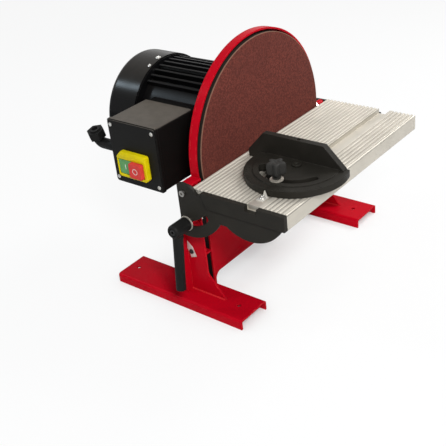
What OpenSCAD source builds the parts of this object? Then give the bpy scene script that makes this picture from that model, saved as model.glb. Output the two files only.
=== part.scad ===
/* [Disc] */
// Diameter of the sanding disc
disc_d = 305; // [290:1:315]
// Thickness of the abrasive sheet
paper_t = 1.5; // [1:0.1:2]
// Thickness of the disc plate
plate_t = 10; // [9:0.5:12]
// Height of the disc axis above the bench
axis_z = 229; // [224:1:240]
// Radius of the hub behind the disc plate
hub_r = 30; // [26:0.5:34]

/* [Guard] */
// Thickness of the painted steel sheet
sheet = 3; // [2:0.1:3.5]
// Radial gap between the disc and the guard rim
rim_gap = 3; // [2:0.5:5]
// How far the abrasive face stands proud of the rim
rim_back = 5; // [3:0.1:8]
// Gap between the disc plate and the guard panel
drum_gap = 4.1; // [3.5:0.1:6]
// Height of the panel's lower edge above the bench
panel_clear = 31; // [24:1:40]
// Radius of the corner where the panel runs into its leg
leg_fillet = 12; // [6:1:16]
// Width of the panel's leg beside the foot
leg_w = 4; // [3:0.5:8]
// Depth of the side plates behind the panel
side_depth = 60; // [40:1:70]

/* [Feet] */
// Width of a foot channel
foot_w = 63; // [56:1:70]
// Length of a foot channel
foot_l = 258; // [240:1:280]
// Height of a foot channel
foot_h = 16.4; // [12:0.1:20]
// How far the feet reach ahead of the abrasive face
foot_ahead = 84.4; // [70:0.1:95]
// Bend radius of the foot channel
bend_r = 4; // [3.6:0.1:6]
// Diameter of a bench bolt hole
bench_hole_d = 6.6; // [5.5:0.1:9]
// Distance from a foot's front end to its front hole
hole_front = 28; // [18:0.5:36]
// Distance from a foot's back end to its back hole
hole_back = 17.5; // [12:0.5:30]

/* [Posts] */
// Gap between the guard rim and a table post
post_gap = 7.9; // [7:0.1:10]
// Width of a post from front to back
post_w = 38.6; // [34:0.1:44]
// How far a post's front edge lies ahead of the tilt axis
post_front = 11.7; // [10:0.1:12.5]
// How far a post's foot flares forward
flare_w = 31; // [20:0.5:40]
// Height of the flare above the foot
flare_h = 38.6; // [30:0.1:50]
// Height of the weld tab above the foot
tab_rise = 58; // [50:1:70]

/* [Table] */
// Length of the table
table_l = 365.2; // [358:0.1:376]
// Width of the table from the disc to the front
table_w = 165.4; // [158:0.1:180]
// Depth of the table and its aprons
table_t = 24; // [22:0.5:27]
// Gap between the table and the abrasive face
table_gap = 3.1; // [2.5:0.1:4]
// How far the table top lies below the disc axis
table_drop = 15.4; // [10:0.1:22]
// Thickness of the table plate
top_t = 8; // [7.5:0.1:9]
// Wall thickness of the table's aprons
apron_t = 6; // [4:0.5:8]
// Pitch of the ribs on the table top
rib_pitch = 7; // [6:0.5:9]
// Width of a groove between two ribs
groove_w = 2.6; // [1.5:0.1:3.5]
// Depth of a groove between two ribs
groove_d = 2.6; // [0.8:0.1:3.2]
// Distance from the abrasive face to the middle of the gauge slot
slot_y = 112.8; // [108:0.1:118]
// Width of the gauge slot
slot_w = 20; // [18:0.1:22]
// Depth of the gauge slot
slot_d = 8.4; // [7.5:0.1:9]

/* [Trunnions] */
// How far the tilt axis lies behind the abrasive face
pivot_back = 11.7; // [11.5:0.1:13]
// How far the tilt axis lies below the table top
pivot_drop = 10.2; // [9.8:0.1:11]
// Largest tilt of the table, in degrees
tilt_max = 45; // [30:1:45]
// Thickness of a trunnion plate
trunnion_t = 5; // [4:0.1:6]
// Radius of the trunnion's quadrant about the tilt axis
quadrant_r = 73; // [70:0.5:78]
// Radius of the clamp slot about the tilt axis
clamp_r = 50.4; // [47:0.1:54]
// Radius of the clamp stud
stud_r = 5; // [4:0.1:5.5]
// Radius of the pivot bolt
pivot_r = 4; // [3.5:0.1:5]
// Radius of the skirt below the trunnion's beam
skirt_r = 67; // [60:0.5:70]
// Depth of the skirt below the beam
skirt_drop = 34; // [28:0.5:40]
// How far the beam stands out of the trunnion's plate
beam_proud = 2.5; // [1.5:0.1:4]

/* [Clamp levers] */
// Radius of a lever's hub
lever_hub_r = 11; // [9.5:0.1:13]
// Length of a lever's hub
lever_hub_l = 32; // [28:0.5:38]
// Radius of a lever's arm
lever_arm_r = 8; // [6.5:0.1:9]
// Length of a lever's arm from the hub's axis
lever_arm_l = 101; // [80:1:112]
// Outward lean of a lever's arm, in degrees
lever_lean = 6; // [0:0.5:10]

/* [Gauge] */
// Length of the gauge bar
bar_l = 200; // [190:1:230]
// Thickness of the gauge bar
bar_t = 7.4; // [6.5:0.1:7.4]
// Distance from the table's end to the bar's end
bar_inset = 1.6; // [1:0.1:6]
// Distance from the bar's end to the gauge's pivot
gauge_pivot = 106; // [100:0.5:112]
// Radius of the gauge's protractor base
gauge_r = 77; // [72:0.5:80]
// Thickness of the protractor base
gauge_t = 11.8; // [9:0.1:14]
// Radius of the arc slot in the base
gauge_slot_r = 50; // [47:0.5:53]
// Largest swing of the gauge to each side, in degrees
swing_max = 60; // [30:1:60]
// Length of the gauge's fence
fence_l = 166; // [150:1:175]
// Height of the fence above the table
fence_h = 43.5; // [36:0.5:50]
// Thickness of the fence
fence_t = 10; // [8:0.5:12]
// How far the fence's face lies ahead of the gauge's pivot
fence_ahead = 25; // [22:0.5:28]
// Radius of the gauge's knob
knob_r = 14.5; // [13:0.5:16]
// Height of the gauge's knob
knob_h = 17; // [14:0.5:20]

/* [Motor] */
// Radius over the motor's cooling fins
fin_r = 93; // [90:0.5:94]
// Depth of a cooling fin
fin_d = 12; // [8:0.5:14]
// Thickness of a cooling fin
fin_t = 3; // [2:0.1:4]
// Wall thickness of the motor's body
body_wall = 6; // [5:0.5:8]
// Length of the finned body
body_l = 152; // [140:1:165]
// Thickness of a motor end bell
bell_t = 20; // [18:0.5:24]
// Outer radius of the fan cover
cover_r = 96.5; // [96:0.1:99]
// Wall thickness of the fan cover
cover_wall = 2; // [1.2:0.1:2.5]
// Length of the fan cover
cover_l = 62; // [56:1:70]
// Radius of the fan cover's back edge
cover_edge_r = 10; // [6:0.5:14]
// Radius of the motor shaft at the disc
shaft_r = 10; // [9:0.1:11]
// Radius of the rotor
rotor_r = 45; // [40:0.5:50]

/* [Switch box] */
// Length of the switch box along the motor
box_l = 99; // [92:0.5:106]
// Height of the switch box
box_h = 105; // [96:0.5:112]
// Distance from the motor's axis to the face of the box cover
box_reach = 169; // [160:0.5:172]
// How far the front of the box lies ahead of the middle of the motor's body
box_front = 43.6; // [36:0.1:52]
// Wall thickness of the switch box
box_wall = 3; // [2:0.1:4]
// Thickness of the box cover
cover_plate_t = 7; // [5:0.1:8]
// Length of the switch's yellow frame
frame_l = 62; // [58:0.5:66]
// Height of the switch's yellow frame
frame_h = 43; // [40:0.5:46]
// How far the yellow frame stands out
frame_t = 8; // [6:0.5:10]
// Travel of the switch's buttons
button_travel = 3; // [2:0.1:3.5]

/* [Dust outlet] */
// Outer diameter of the dust outlet's spigot
port_d = 50; // [44:0.5:52]
// Wall thickness of the spigot
port_wall = 2; // [1.5:0.1:3]
// Length of the spigot
port_l = 45; // [35:1:60]
// Depth of the dust chute behind the panel
chute_depth = 40; // [30:1:50]
// Width of the dust chute
chute_w = 100; // [80:1:110]
// Height of the dust chute
chute_h = 88; // [75:1:92]

/* [Hidden] */
$fn = 64;

// Overrun of every cut past the face it opens
over = 1;
// Clearance of a seated fit
seat = 0.05;
// Radial clearance of a running fit
run_fit = 0.05;
// Gap between faces that slide past each other
slide_gap = 0.3;

// Disc and guard
disc_r = disc_d / 2;
plate_back = paper_t + plate_t;
panel_front = plate_back + drum_gap;
panel_back = panel_front + sheet;
rim_in = disc_r + rim_gap;
rim_out = rim_in + sheet;

// Feet and posts, which stand beside the guard or further out under a long table
spacer_least = 10;
spacer_most = 18;
table_end = table_l / 2;
post_in_x = max(rim_out + post_gap, table_end - slide_gap - spacer_most - sheet);
post_out_x = post_in_x + sheet;
spacer_l = max(spacer_least, table_end - slide_gap - post_out_x);
trunnion_in = post_out_x + spacer_l + slide_gap;
foot_x = post_out_x;
foot_in_x = foot_x - foot_w / 2;
foot_y0 = -foot_ahead;
foot_y1 = foot_y0 + foot_l;
hole_y0 = foot_y0 + hole_front;
hole_y1 = foot_y1 - hole_back;
leg_bottom = foot_h / 8;

// Table and its tilt axis
table_z = axis_z - table_drop;
table_bottom = table_z - table_t;
table_y1 = -table_gap;
table_y0 = table_y1 - table_w;
pivot_y = pivot_back;
pivot_z = table_z - pivot_drop;
clamp_z = pivot_z - clamp_r;
tilt_clear = 0.8;
// Distance that every point of the bevel keeps from the tilt axis at full tilt
bevel_sum = (pivot_back + tilt_clear) * sqrt(2);
edge_t = pivot_drop + table_gap + pivot_back - bevel_sum;
bevel_run = table_t - edge_t;
bevel_y = table_y1 - bevel_run;
slot_wall = 3;
slot_floor = 3;
slot_mid = -slot_y;
first_rib = 4;

// Posts
post_y0 = pivot_y - post_front;
post_y1 = post_y0 + post_w;
post_top = table_z + sheet - slide_gap;
spacer_r = 7.5;
crown_wall = 2.4;
flange_out = post_out_x + spacer_l - seat;
right_top = pivot_z + pivot_r + crown_wall;
nut_t = 6;
nut_r = 9;
tab_z = foot_h + tab_rise;

// Trunnions
trunnion_out = trunnion_in + trunnion_t;
lobe_r = 16;
rear_reach = 10.5;
beam_below = 1.6;
beam_lip = 0.6;
right_drop = 5.5;
right_notch = 6.2;
beam_top = table_z - groove_d - beam_below;
left_beam_top = table_z - beam_lip;
beam_bottom = table_bottom;
lobe_run = 36;
lobe_dip_shares = [0.7, 0.16];
lobe_brow_shares = [1.3, 0.58];
lobe_crown_shares = [0.84, 0.9];
right_front = 8;
web_drop = 21;
web_share = 0.8;
beam_slant = 7;
slot_end_spare = 4;
slot_half_w = stud_r + slide_gap;
skirt_mid = -104;
skirt_start = -66;
web_l = pivot_y - quadrant_r * web_share - skirt_start;
skirt_z = beam_bottom - skirt_drop + skirt_r;
ledge_l = 24;
ledge_t = 5;
ledge_y0 = -94;
ledge_y1 = -34;
ledge_z = table_z - top_t - ledge_t;
ledge_screw_r = 2.5;
ledge_skin = 1.5;
ledge_screw_bite = top_t - groove_d - ledge_skin;
ledge_screw_inset = 12;
pivot_head_lip = 0.8;
pivot_head_r = pivot_r + pivot_head_lip;
pivot_head_t = 3;
pivot_socket_r = 2.4;
pivot_socket_d = 2.5;

// Clamp levers
washer_t = 1.6;
washer_r = 12;
lever_x0 = trunnion_out + washer_t + slide_gap;
lever_x1 = lever_x0 + lever_hub_l;
arm_x = lever_x1 - lever_hub_r - 4 * slide_gap;
lever_bore_share = 0.6;
lever_bore_l = lever_hub_l * lever_bore_share;
lever_screw_r = 5;
lever_screw_d = 6;
lever_recess_r = 6;
lever_recess_d = 7;
arm_bevel = 1.5;
socket_r = 2.4;
socket_d = 3;

// Angle pointers
pointer_t = 1.2;
pointer_drop = 41.8;
pointer_z = pivot_z - quadrant_r - pointer_drop;
pointer_l = 28;
pointer_w = 11;
pointer_room = 3;
pointer_inset = pointer_w / 2 + pointer_room;
pointer_y = post_y1 - sheet - pointer_inset;
pointer_tail_share = 0.35;
pointer_tip_share = 0.4;
pointer_lean = 22;
pointer_screw_r = 2;
pointer_screw_head_r = 4;
pointer_screw_head_t = 2.4;

// Mitre gauge
gauge_lift = 0.6;
gauge_x0 = -(table_end - bar_inset);
gauge_x = gauge_x0 + gauge_pivot;
bar_w = slot_w - 2 * slide_gap;
bar_z = table_z - slot_d + slide_gap;
bar_top = bar_z + bar_t;
gauge_z = max(table_z + gauge_lift, bar_top + slide_gap);
gauge_top = gauge_z + gauge_t;
fence_x1 = gauge_x + fence_ahead;
fence_x0 = fence_x1 - fence_t;
fence_inset = 12;
fence_y1 = table_y1 - fence_inset;
fence_y0 = fence_y1 - fence_l;
fence_end_h = 12.5;
fence_chamfer_back = 29;
fence_chamfer_front = 32;
fence_hole_r = 3.2;
fence_hole_d = 10;
fence_hole_share = 0.46;
rim_step = 13;
rim_rise = 1.5;
knob_stud_r = 4;
gauge_slot_room = 1.4;
knob_neck_r = 6.5;
knob_neck_h = 9;
knob_bite = 8;
knob_lobes = 5;
knob_lobe_r = 5;
knob_washer_r = 10;
knob_washer_t = 1.6;
knob_x = gauge_x - gauge_slot_r;
knob_z = gauge_top + slide_gap + knob_washer_t;
gauge_pin_r = 4;
gauge_pin_head_r = 7;
gauge_pin_head_t = 3;
gauge_hint_t = 1.2;
gauge_hint_w = 12;
gauge_hint_foot = 14;
gauge_hint_gap = 1.5;
gauge_hint_tip_w = 1.2;
gauge_hint_rise = 10;
gauge_hint_screw_r = 2;
gauge_hint_head_r = 4.2;
gauge_hint_head_t = 2.6;
gauge_bite = 5;

// Motor
motor_y0 = panel_back;
body_y0 = motor_y0 + bell_t;
body_y1 = body_y0 + body_l;
body_r = fin_r - fin_d;
body_bore = body_r - body_wall;
fin_count = 48;
fin_step = 360 / fin_count;
fin_inset = 6;
smooth_half = 52;
bell_step = 4;
bell_r = fin_r - bell_step;
hub_recess_r = hub_r + 4 * slide_gap;
hub_recess_d = 11;
bearing_r = 23.5;
bearing_w = 14;
bearing_lip = 3;
bearing_bore = shaft_r + run_fit;
rear_bearing_r = 20;
rear_bearing_w = 12;
rear_shaft_r = 8.5;
boss_wall = 6;
rear_bell_t = 12;
rear_bell_y1 = body_y1 + rear_bell_t;
cover_y0 = body_y1 + fin_inset / 6;
cover_y1 = cover_y0 + cover_l;
cover_in = cover_r - cover_wall;
rear_bell_r = cover_in - seat;
grille_slots = 24;
grille_in = 24;
grille_out = 74;
grille_w = 5;
cover_screw_angle = 7;
cover_screw_r = 2.4;
cover_screw_head_r = 4.4;
cover_screw_head_t = 2.4;
cover_screw_bite = 7;
tie_r = 2.5;
tie_angle = (smooth_half + 90) % fin_step + 1.5 * fin_step;
tie_ring = body_r + tie_r + 2 * slide_gap;
tie_head_r = 4.2;
tie_head_t = 3.5;
tie_bite = 9;
flange_bolt_r = 4;
flange_bolt_ring = 62;
flange_bolt_head_r = 7;
flange_bolt_head_t = 2.6;
flange_bolt_bite = 12;
core_l = 84;
core_y0 = body_y0 + (body_l - core_l) / 2;
core_y1 = core_y0 + core_l;
air_gap = 0.6;
winding_wall = 5;
winding_l = 20;
shoulder_step = 3;
shoulder_r = shaft_r + shoulder_step;
shaft_clear = 1;
shaft_hole_r = shoulder_r + shaft_clear;
front_bearing_y1 = body_y0 + bearing_w / 2;
front_bearing_y0 = front_bearing_y1 - bearing_w;
rear_bearing_y0 = body_y1 - rear_bearing_w / 3;
rear_bearing_y1 = rear_bearing_y0 + rear_bearing_w;
fan_gap = 6;
fan_y0 = rear_bell_y1 + fan_gap;
fan_plate_t = 2.5;
fan_blade_h = 16;
fan_blade_t = 2.5;
fan_blades = 9;
fan_room = 14;
fan_r = cover_in - fan_room;
fan_hub_r = 16;
fan_shaft_r = 7;
shaft_end = fan_y0 + fan_plate_t + fan_blade_h;
nose_wall = 4;
counterbore_d = 5.5;
shaft_nose = paper_t + counterbore_d + nose_wall;
hub_clear = 3;
hub_back = motor_y0 + hub_recess_d - hub_clear;
disc_screw_r = 4;
disc_screw_head_r = 8;
disc_screw_bite = 16;

// Switch box
box_x1 = -(box_reach - cover_plate_t);
box_stand = 2;
box_corner = 4;
cover_lip = 1;
box_rise = 2;
box_x0 = -(body_r + box_stand);
box_y0 = (body_y0 + body_y1) / 2 - box_front;
box_y1 = box_y0 + box_l;
box_z0 = axis_z + box_rise - box_h / 2;
box_z1 = box_z0 + box_h;
saddle_inset = 3;
saddle_half = box_h / 2 + box_rise - saddle_inset;
saddle_root = body_bore + body_wall / 2;
saddle_x = -sqrt(saddle_root * saddle_root - saddle_half * saddle_half);
cover_face = -box_reach;
screw_inset_y = 6.5;
screw_inset_z = 8;
box_screw_r = 1.8;
box_screw_head_r = 3.2;
box_screw_head_t = 1.8;
box_screw_bite = 6;
post_side = 10;
frame_end = 16.5;
frame_y0 = box_y1 - frame_l - frame_end;
frame_lift = 15.5;
frame_z0 = box_z0 + frame_lift;
frame_corner = 9;
frame_front = 6.5;
frame_back = 2;
frame_sill = 4.5;
frame_brow = 12.5;
well_l = frame_l - frame_front - frame_back;
well_h = frame_h - frame_sill - frame_brow;
well_y0 = frame_y0 + frame_front;
well_z0 = frame_z0 + frame_sill;
button_gap = 0.6;
button_l = (well_l - 3 * button_gap) / 2;
button_h = well_h - 2 * button_gap;
start_proud = -1;
stop_proud = 6;
button_flange = 1.5;
switch_depth = 34;
switch_side = 3;
capacitor_r = 16;
capacitor_l = 70;
capacitor_z = box_z1 - box_wall - capacitor_r - seat;
capacitor_gap = 4;
capacitor_x = box_x0 - box_wall - capacitor_r - capacitor_gap;
gland_in = 20;
gland_up = 43;
gland_x = box_x1 + gland_in;
gland_z = box_z0 + gland_up;
gland_r = 9;
gland_run = 57;
gland_bend = 10;
gland_back = gland_run - gland_bend;
gland_collar_r = 12;
gland_collar_t = 6;
gland_rise = 10.5;
gland_lean = 14;
gland_bore = 5;
gland_nut_r = 14.5;
gland_nut_h = 14;
gland_cap_r = 9;
gland_cap_h = 2.5;

// Dust outlet
port_r = port_d / 2;
chute_wall = sheet;
chute_gap = 1.5;
chute_top = axis_z - cover_r - chute_gap;
chute_bottom = chute_top - chute_h;
port_lift = 5;
port_z = chute_bottom + port_lift + port_r;
window_lip = 2;
window_z = axis_z - sqrt(rim_in * rim_in - chute_w * chute_w / 4) + window_lip;
chute_y1 = panel_back + chute_depth;
port_y1 = chute_y1 + port_l;

// Middle of the whole object from front to back
object_front = min(table_y0, fence_y0, slot_mid - gauge_r);
object_back = cover_y1;
middle_y = (object_front + object_back) / 2;

// Moves the object so that its middle lies on the origin
module placed() {
    translate([0, -middle_y, 0]) children();
}

// Draws a part for the left side, mirrored to the right when side is 1
module on_side(side) {
    placed() mirror([side, 0, 0]) children();
}

// Plate drawn in Y and Z, with its thickness from x0 along +X
module yz_plate(x0, t) {
    translate([x0, 0, 0]) rotate([90, 0, 90]) linear_extrude(t) children();
}

// Plate drawn in X and Z, with its thickness from y0 along +Y
module xz_plate(y0, t) {
    translate([0, y0 + t, 0]) rotate([90, 0, 0]) linear_extrude(t) children();
}

// Box between two opposite corners
module block(low, high) {
    translate(low) cube(high - low);
}

// Round bar along +Y on the motor's axis, moved by dx and dz
module y_bar(r, y0, y1, dx = 0, dz = 0) {
    translate([dx, y0, axis_z + dz]) rotate([-90, 0, 0]) cylinder(r = r, h = y1 - y0);
}

// Round bar along +X at a place in Y and Z
module x_bar(r, x0, x1, y, z) {
    translate([x0, y, z]) rotate([0, 90, 0]) cylinder(r = r, h = x1 - x0);
}

// Hexagonal bar along +X at a place in Y and Z
module x_hex(r, x0, x1, y, z) {
    translate([x0, y, z]) rotate([0, 90, 0]) cylinder(r = r, h = x1 - x0, $fn = 6);
}

// Upright round bar
module z_bar(r, z0, z1, x, y) {
    translate([x, y, z0]) cylinder(r = r, h = z1 - z0);
}

// Turns its children about the motor's axis, from the top towards -X
module round_axis(angle) {
    translate([0, 0, axis_z]) rotate([0, -angle, 0]) translate([0, 0, -axis_z]) children();
}

// Ring about the motor's axis
module y_ring(r_out, r_in, y0, y1) {
    difference() {
        y_bar(r_out, y0, y1);
        y_bar(r_in, y0 - over, y1 + over);
    }
}

// Foot channel seen from its end, open below
module foot_profile() {
    half = foot_w / 2;
    difference() {
        union() {
            translate([-half, 0]) square([foot_w, foot_h - bend_r]);
            translate([bend_r - half, 0]) square([foot_w - 2 * bend_r, foot_h]);
            for (s = [-1, 1]) translate([s * (half - bend_r), foot_h - bend_r]) circle(bend_r);
        }
        translate([sheet - half, -over]) square([foot_w - 2 * sheet, foot_h - sheet + over]);
    }
}

module foot() {
    color("firebrick") difference() {
        translate([-foot_x, 0, 0]) xz_plate(foot_y0, foot_l) foot_profile();
        for (y = [hole_y0, hole_y1])
            z_bar(bench_hole_d / 2, foot_h - sheet - over, foot_h + over, -foot_x, y);
    }
}

module left_foot() {
    on_side(0) foot();
}

module right_foot() {
    on_side(1) foot();
}

// Leg of the panel beside one foot, with its round inner corner
module panel_leg() {
    translate([-foot_in_x, leg_bottom]) square([leg_w, panel_clear - leg_bottom + over]);
    translate([leg_w - foot_in_x, panel_clear - leg_fillet]) difference() {
        square([leg_fillet, leg_fillet + over]);
        translate([leg_fillet, 0]) circle(leg_fillet);
    }
}

module guard_panel() {
    color("firebrick") placed() difference() {
        xz_plate(panel_front, sheet) {
            translate([0, axis_z]) circle(rim_out);
            translate([-foot_in_x, panel_clear]) square([2 * foot_in_x, axis_z - panel_clear]);
            for (s = [0, 1]) mirror([s, 0]) panel_leg();
        }
        y_bar(hub_recess_r, panel_front - over, panel_back + over);
        for (a = [45 : 90 : 315])
            round_axis(a) y_bar(flange_bolt_r + seat, panel_front - over, panel_back + over, 0, flange_bolt_ring);
        block(
            [chute_wall - chute_w / 2, panel_front - over, window_z],
            [chute_w / 2 - chute_wall, panel_back + over, chute_top - chute_wall]
        );
    }
}

module guard_rim() {
    color("red") placed() y_ring(rim_out, rim_in, rim_back, panel_front);
}

// Side plate behind the panel, with its upper back corner cut away
module side_plate() {
    top = axis_z - sqrt(max(0, rim_out * rim_out - foot_in_x * foot_in_x));
    color("firebrick") yz_plate(-foot_in_x, sheet) polygon([
        [panel_back, leg_bottom],
        [panel_back + side_depth, leg_bottom],
        [panel_back + side_depth, (leg_bottom + top) / 2],
        [panel_back + side_depth / 2, top],
        [panel_back, top]
    ]);
}

module left_side_plate() {
    on_side(0) side_plate();
}

module right_side_plate() {
    on_side(1) side_plate();
}

// Post with its tapered back flange and weld tab
module post(top) {
    tab_y0 = panel_front;
    color("firebrick") difference() {
        union() {
            yz_plate(-post_out_x, sheet) polygon([
                [post_y0 - flare_w, foot_h],
                [post_y1, foot_h],
                [post_y1, clamp_z + spacer_r],
                [pivot_y + spacer_r, top],
                [post_y0, top],
                [post_y0, foot_h + flare_h]
            ]);
            xz_plate(post_y1 - sheet, sheet) polygon([
                [-flange_out, foot_h],
                [-post_in_x, foot_h],
                [-post_in_x, clamp_z],
                [-post_out_x, clamp_z - spacer_r],
                [-flange_out, tab_z]
            ]);
            children();
            block([-post_out_x, tab_y0, tab_z], [-foot_in_x - seat, post_y1, tab_z + sheet]);
        }
        x_bar(pivot_r + seat, -post_out_x - over, -post_in_x + over, pivot_y, pivot_z);
        x_bar(stud_r + run_fit, -post_out_x - over, -post_in_x + over, pivot_y, clamp_z);
        x_bar(pointer_screw_r + seat, -post_out_x - over, -post_in_x + over, pointer_y, pointer_z);
    }
}

// Shelf between the left post's top and the guard rim
module post_shelf() {
    difference() {
        block([-flange_out, post_y0, post_top - sheet], [-rim_in, panel_back, post_top]);
        y_bar(rim_out + seat, post_y0 - over, panel_back + over);
    }
}

module left_post() {
    on_side(0) post(post_top) post_shelf();
}

module right_post() {
    on_side(1) post(right_top);
}

// Tubes that hold the trunnions clear of the posts
module table_spacers() {
    color("silver") for (side = [0, 1]) on_side(side) {
        difference() {
            x_bar(spacer_r, -post_out_x - spacer_l, -post_out_x, pivot_y, pivot_z);
            x_bar(pivot_r + seat, -post_out_x - spacer_l - over, -post_out_x + over, pivot_y, pivot_z);
        }
        difference() {
            x_bar(spacer_r, -post_out_x - spacer_l, -post_out_x, pivot_y, clamp_z);
            x_bar(stud_r + run_fit, -post_out_x - spacer_l - over, -post_out_x + over, pivot_y, clamp_z);
        }
    }
}

module post_nuts() {
    color("silver") for (side = [0, 1]) on_side(side) {
        difference() {
            x_hex(nut_r, -post_in_x, nut_t - post_in_x, pivot_y, pivot_z);
            x_bar(pivot_r + seat, -post_in_x - over, nut_t - post_in_x + over, pivot_y, pivot_z);
        }
        difference() {
            x_hex(nut_r, -post_in_x, nut_t - post_in_x, pivot_y, clamp_z);
            x_bar(stud_r + run_fit, -post_in_x - over, nut_t - post_in_x + over, pivot_y, clamp_z);
        }
    }
}

module pivot_bolts() {
    head_x = -(trunnion_out + slide_gap);
    color("dimgray") for (side = [0, 1]) on_side(side) difference() {
        union() {
            x_bar(pivot_r, head_x - over, nut_t - post_in_x, pivot_y, pivot_z);
            x_bar(pivot_head_r, head_x - pivot_head_t, head_x, pivot_y, pivot_z);
        }
        x_hex(
            pivot_socket_r, head_x - pivot_head_t - over, head_x - pivot_head_t + pivot_socket_d, pivot_y, pivot_z
        );
    }
}

// Flat pointer with an arrow tip, leaning back towards the trunnion's scale
module pointer_outline() {
    tail = -pointer_l * pointer_tail_share;
    tip = pointer_l + tail;
    shoulder = tip - pointer_l * pointer_tip_share;
    polygon([
        [-pointer_w / 2, tail],
        [pointer_w / 2, tail],
        [pointer_w / 2, shoulder],
        [0, tip],
        [-pointer_w / 2, shoulder]
    ]);
}

module angle_pointers() {
    color("silver") for (side = [0, 1]) on_side(side) difference() {
        yz_plate(-post_out_x - pointer_t, pointer_t)
            translate([pointer_y, pointer_z]) rotate(-pointer_lean) pointer_outline();
        x_bar(pointer_screw_r + seat, -post_out_x - pointer_t - over, -post_out_x + over, pointer_y, pointer_z);
    }
}

module pointer_screws() {
    head_x = -post_out_x - pointer_t;
    color("silver") for (side = [0, 1]) on_side(side) {
        x_bar(pointer_screw_r, head_x - over, -post_in_x, pointer_y, pointer_z);
        x_bar(pointer_screw_head_r, head_x - pointer_screw_head_t, head_x, pointer_y, pointer_z);
    }
}

// Chute behind the panel's window, with a spigot for a hose
module dust_outlet() {
    color("firebrick") placed() difference() {
        union() {
            block(
                [-chute_w / 2, panel_back, chute_bottom],
                [chute_w / 2, chute_y1, chute_top]
            );
            y_bar(port_r, chute_y1 - over, port_y1, 0, port_z - axis_z);
        }
        block(
            [chute_wall - chute_w / 2, panel_back - over, chute_bottom + chute_wall],
            [chute_w / 2 - chute_wall, chute_y1 - chute_wall, chute_top - chute_wall]
        );
        y_bar(port_r - port_wall, chute_y1 - chute_wall - over, port_y1 + over, 0, port_z - axis_z);
    }
}

// Four places round the motor's axis, starting a given angle from the top
module four_round(angle) {
    for (a = [angle : 90 : angle + 270]) round_axis(a) children();
}

module front_bell() {
    color("dimgray") placed() difference() {
        union() {
            y_bar(bell_r, motor_y0, body_y0 - seat);
            y_bar(bearing_r + boss_wall, motor_y0 + over, front_bearing_y1);
        }
        y_bar(hub_recess_r, motor_y0 - over, motor_y0 + hub_recess_d);
        y_bar(shaft_hole_r, motor_y0 - over, body_y0 + over);
        y_bar(bearing_r + seat, front_bearing_y0, front_bearing_y1 + over);
        four_round(45)
            y_bar(flange_bolt_r + seat, motor_y0 - over, motor_y0 + flange_bolt_bite, 0, flange_bolt_ring);
        four_round(tie_angle) y_bar(tie_r + seat, body_y0 - tie_bite, body_y0 + over, 0, tie_ring);
    }
}

module motor_body() {
    color("black") placed() difference() {
        union() {
            y_bar(body_r, body_y0, body_y1);
            for (a = [smooth_half + 90 : fin_step : 450 - smooth_half])
                round_axis(a) translate([-fin_t / 2, body_y0 + fin_inset, axis_z + body_bore + body_wall / 2])
                    cube([fin_t, body_l - 2 * fin_inset, fin_r - body_bore - body_wall / 2]);
            block(
                [box_x0, box_y0 + saddle_inset, box_z0 + saddle_inset],
                [saddle_x, box_y1 - saddle_inset, box_z1 - saddle_inset]
            );
        }
        y_bar(body_bore, body_y0 - over, body_y1 + over);
        four_round(tie_angle) y_bar(tie_r + slide_gap, body_y0 - over, body_y1 + over, 0, tie_ring);
    }
}

module rear_bell() {
    color("dimgray") placed() difference() {
        union() {
            y_bar(rear_bell_r, body_y1 + seat, rear_bell_y1);
            y_bar(rear_bearing_r + boss_wall, rear_bearing_y0, rear_bell_y1 - over);
        }
        y_bar(rear_bearing_r + seat, rear_bearing_y0 - over, rear_bearing_y1);
        y_bar(rear_shaft_r + 4 * slide_gap, rear_bearing_y0 - over, rear_bell_y1 + over);
        four_round(tie_angle) y_bar(tie_r + slide_gap, body_y1 - over, rear_bell_y1 + over, 0, tie_ring);
        four_round(cover_screw_angle) translate([0, cover_screw_y(), axis_z + rear_bell_r - cover_screw_bite])
            cylinder(r = cover_screw_r + seat, h = cover_screw_bite + over);
    }
}

// Half section of the fan cover's outer or inner form, in radius and length
module cover_section(r, l, edge) {
    square([r - edge, l]);
    square([r, l - edge]);
    translate([r - edge, l - edge]) circle(edge);
}

function cover_screw_y() = (cover_y0 + rear_bell_y1) / 2;

module fan_cover() {
    color("black") placed() difference() {
        translate([0, cover_y0, axis_z]) rotate([-90, 0, 0]) rotate_extrude() difference() {
            intersection() {
                cover_section(cover_r, cover_l, cover_edge_r);
                square([cover_r, cover_l]);
            }
            translate([0, -over])
                cover_section(cover_in, cover_l - cover_wall + over, cover_edge_r - cover_wall);
        }
        for (k = [0 : grille_slots - 1]) round_axis(k * 360 / grille_slots)
            translate([-grille_w / 2, cover_y1 - cover_wall - over, axis_z + grille_in])
                cube([grille_w, cover_wall + 2 * over, grille_out - grille_in]);
        four_round(cover_screw_angle) translate([0, cover_screw_y(), axis_z + cover_in - over])
            cylinder(r = cover_screw_r + seat, h = cover_wall + 2 * over);
    }
}

module fan_cover_screws() {
    color("silver") placed() four_round(cover_screw_angle) translate([0, cover_screw_y(), axis_z]) {
        translate([0, 0, rear_bell_r - cover_screw_bite + seat])
            cylinder(r = cover_screw_r, h = cover_r + over - rear_bell_r + cover_screw_bite - seat);
        translate([0, 0, cover_r + seat]) cylinder(r = cover_screw_head_r, h = cover_screw_head_t);
    }
}

// Long rods that hold the two end bells against the finned body
module tie_rods() {
    color("silver") placed() four_round(tie_angle) {
        y_bar(tie_r, body_y0 - tie_bite + seat, rear_bell_y1 + over, 0, tie_ring);
        y_bar(tie_head_r, rear_bell_y1, rear_bell_y1 + tie_head_t, 0, tie_ring);
    }
}

module flange_bolts() {
    color("silver") placed() four_round(45) {
        y_bar(flange_bolt_r, panel_front - over, motor_y0 + flange_bolt_bite - seat, 0, flange_bolt_ring);
        y_bar(flange_bolt_head_r, panel_front - flange_bolt_head_t, panel_front, 0, flange_bolt_ring);
    }
}

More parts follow.
